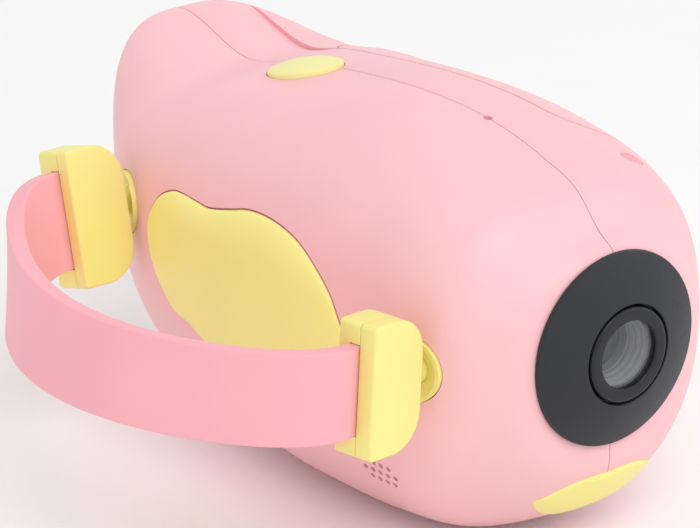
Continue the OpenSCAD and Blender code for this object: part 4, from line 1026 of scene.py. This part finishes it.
def strap_ring(i):
    last = len(strap_line) - 1
    run = strap_line[min(i + 1, last)] - strap_line[max(i - 1, 0)]
    share = strap_share(i)
    lift = way(ON_FRONT, 0, 0, 1) * (1 - share) + way(ON_REAR, 0, 0, 1) * share
    side = run.cross(lift).normalized()
    up = side.cross(run).normalized()
    twist = STRAP_TWIST * slack(share)
    up, side = up * cos(twist) + side * sin(twist), side * cos(twist) - up * sin(twist)
    thick = TAB_T if i < len(TABS) or i > last - len(TABS) else STRAP_T
    width = FRONT_STRAP_W + (REAR_STRAP_W - FRONT_STRAP_W) * share
    return [tuple(strap_line[i] + a * up + b * side) for a, b in strap_section(width, thick)]


TABS = [TAB_IN + (BRACKET_OUT + CLEAR - TAB_IN) * k / TAB_STEPS for k in range(TAB_STEPS + 1)]
strap_start = BRACKET_OUT + 0.5 * STRAP_T
front_end, rear_end = tab_point(ON_FRONT, strap_start), tab_point(ON_REAR, strap_start)
line_dir = (REAR_BALL - FRONT_BALL).normalized()
line_in = line_dir.cross(Vector((0, 0, 1))).normalized()
strap_top = (FRONT_BALL + REAR_BALL) / 2 - STRAP_REACH * line_in
end_pull, top_pull = STRAP_REACH - strap_start, TOP_PULL * (rear_end - front_end).length / 2
front_bend = (front_end, front_end + FRONT_PULL * end_pull * way(ON_FRONT, 1, 0, 0),
              strap_top - top_pull * line_dir, strap_top)
rear_bend = (strap_top, strap_top + top_pull * line_dir,
             rear_end + REAR_PULL * end_pull * way(ON_REAR, 1, 0, 0), rear_end)
taut_line = ([tab_point(ON_FRONT, x) for x in TABS]
             + [bent(front_bend, i / STRAP_STEPS) for i in range(STRAP_STEPS + 1)]
             + [bent(rear_bend, i / STRAP_STEPS) for i in range(1, STRAP_STEPS + 1)]
             + [tab_point(ON_REAR, x) for x in reversed(TABS)])
strap_line = [p - Vector((0, 0, STRAP_SAG * slack(strap_share(i)))) for i, p in enumerate(taut_line)]
strap = new_object("hand_strap_band", *capped([strap_ring(i) for i in range(len(strap_line))]))
finish_piece(strap, STRAP, "handle", ["hand_strap"], sharp=60)


# Camera, at the photograph's view

right, down = ((seen - mid) / FOCAL_PX * DISTANCE for seen, mid in zip(ORIGIN_PX, PHOTO_MID))
offset = VIEW_RIGHT * right - VIEW_UP * down - VIEW_BACK * DISTANCE
eye = LENS @ (-offset * SCALE)
camera = bpy.data.objects.new("camera", bpy.data.cameras.new("camera"))
bpy.context.collection.objects.link(camera)
camera.data.sensor_width = SENSOR_W
camera.data.lens = FOCAL_PX * SENSOR_W / PHOTO_W
camera.data.clip_end = CLIP_END
view = Matrix((VIEW_RIGHT, VIEW_UP, VIEW_BACK)).transposed().to_4x4()
camera.matrix_world = move(*(eye * MM)) @ view
bpy.context.scene.camera = camera


# Floor and light


def area_light(name, place, size, power):
    lamp = bpy.data.lights.new(name, "AREA")
    lamp.shape = "DISK"
    lamp.size = size
    lamp.energy = power
    obj = bpy.data.objects.new(name, lamp)
    bpy.context.collection.objects.link(obj)
    obj.location = place
    obj.rotation_euler = (Vector(LIGHT_AIM) - Vector(place)).to_track_quat("-Z", "Y").to_euler()


def background(nodes, strength):
    node = nodes.new("ShaderNodeBackground")
    node.inputs["Color"].default_value = (1, 1, 1, 1)
    node.inputs["Strength"].default_value = strength
    return node


floor = new_object("floor", *box(-FLOOR_HALF, -FLOOR_HALF, FLOOR_LOW, FLOOR_HALF, FLOOR_HALF, FLOOR_TOP),
                   matrix=Matrix.Identity(4))
floor.data.materials.append(PAPER)
floor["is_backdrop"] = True

area_light("key", place=(-0.25, -0.85, 1.15), size=0.9, power=5.6)
area_light("fill", place=(0.8, -0.7, 0.6), size=0.8, power=1.5)

# the room that is seen, also in reflections and through the window, is brighter than the room that lights
world = bpy.data.worlds.new("studio")
bpy.context.scene.world = world
world.use_nodes = True
nodes, links = world.node_tree.nodes, world.node_tree.links
nodes.clear()
surface = nodes.new("ShaderNodeOutputWorld").inputs["Surface"]
room, seen_room = background(nodes, ROOM_LIGHT), background(nodes, SEEN_LIGHT)
mix = nodes.new("ShaderNodeMixShader")
path = nodes.new("ShaderNodeLightPath")
shown = path.outputs["Is Camera Ray"]
for ray in ("Is Glossy Ray", "Is Transmission Ray"):
    either = nodes.new("ShaderNodeMath")
    either.operation = "MAXIMUM"
    links.new(shown, either.inputs[0])
    links.new(path.outputs[ray], either.inputs[1])
    shown = either.outputs["Value"]
links.new(shown, mix.inputs["Fac"])
links.new(room.outputs["Background"], mix.inputs[1])
links.new(seen_room.outputs["Background"], mix.inputs[2])
links.new(mix.outputs["Shader"], surface)
bpy.context.scene.view_settings.view_transform = "Standard"

plain = lambda b: [[float(c) for c in corner] for corner in b]
{"cad": plain(cad_box), "visual": plain(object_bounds())}
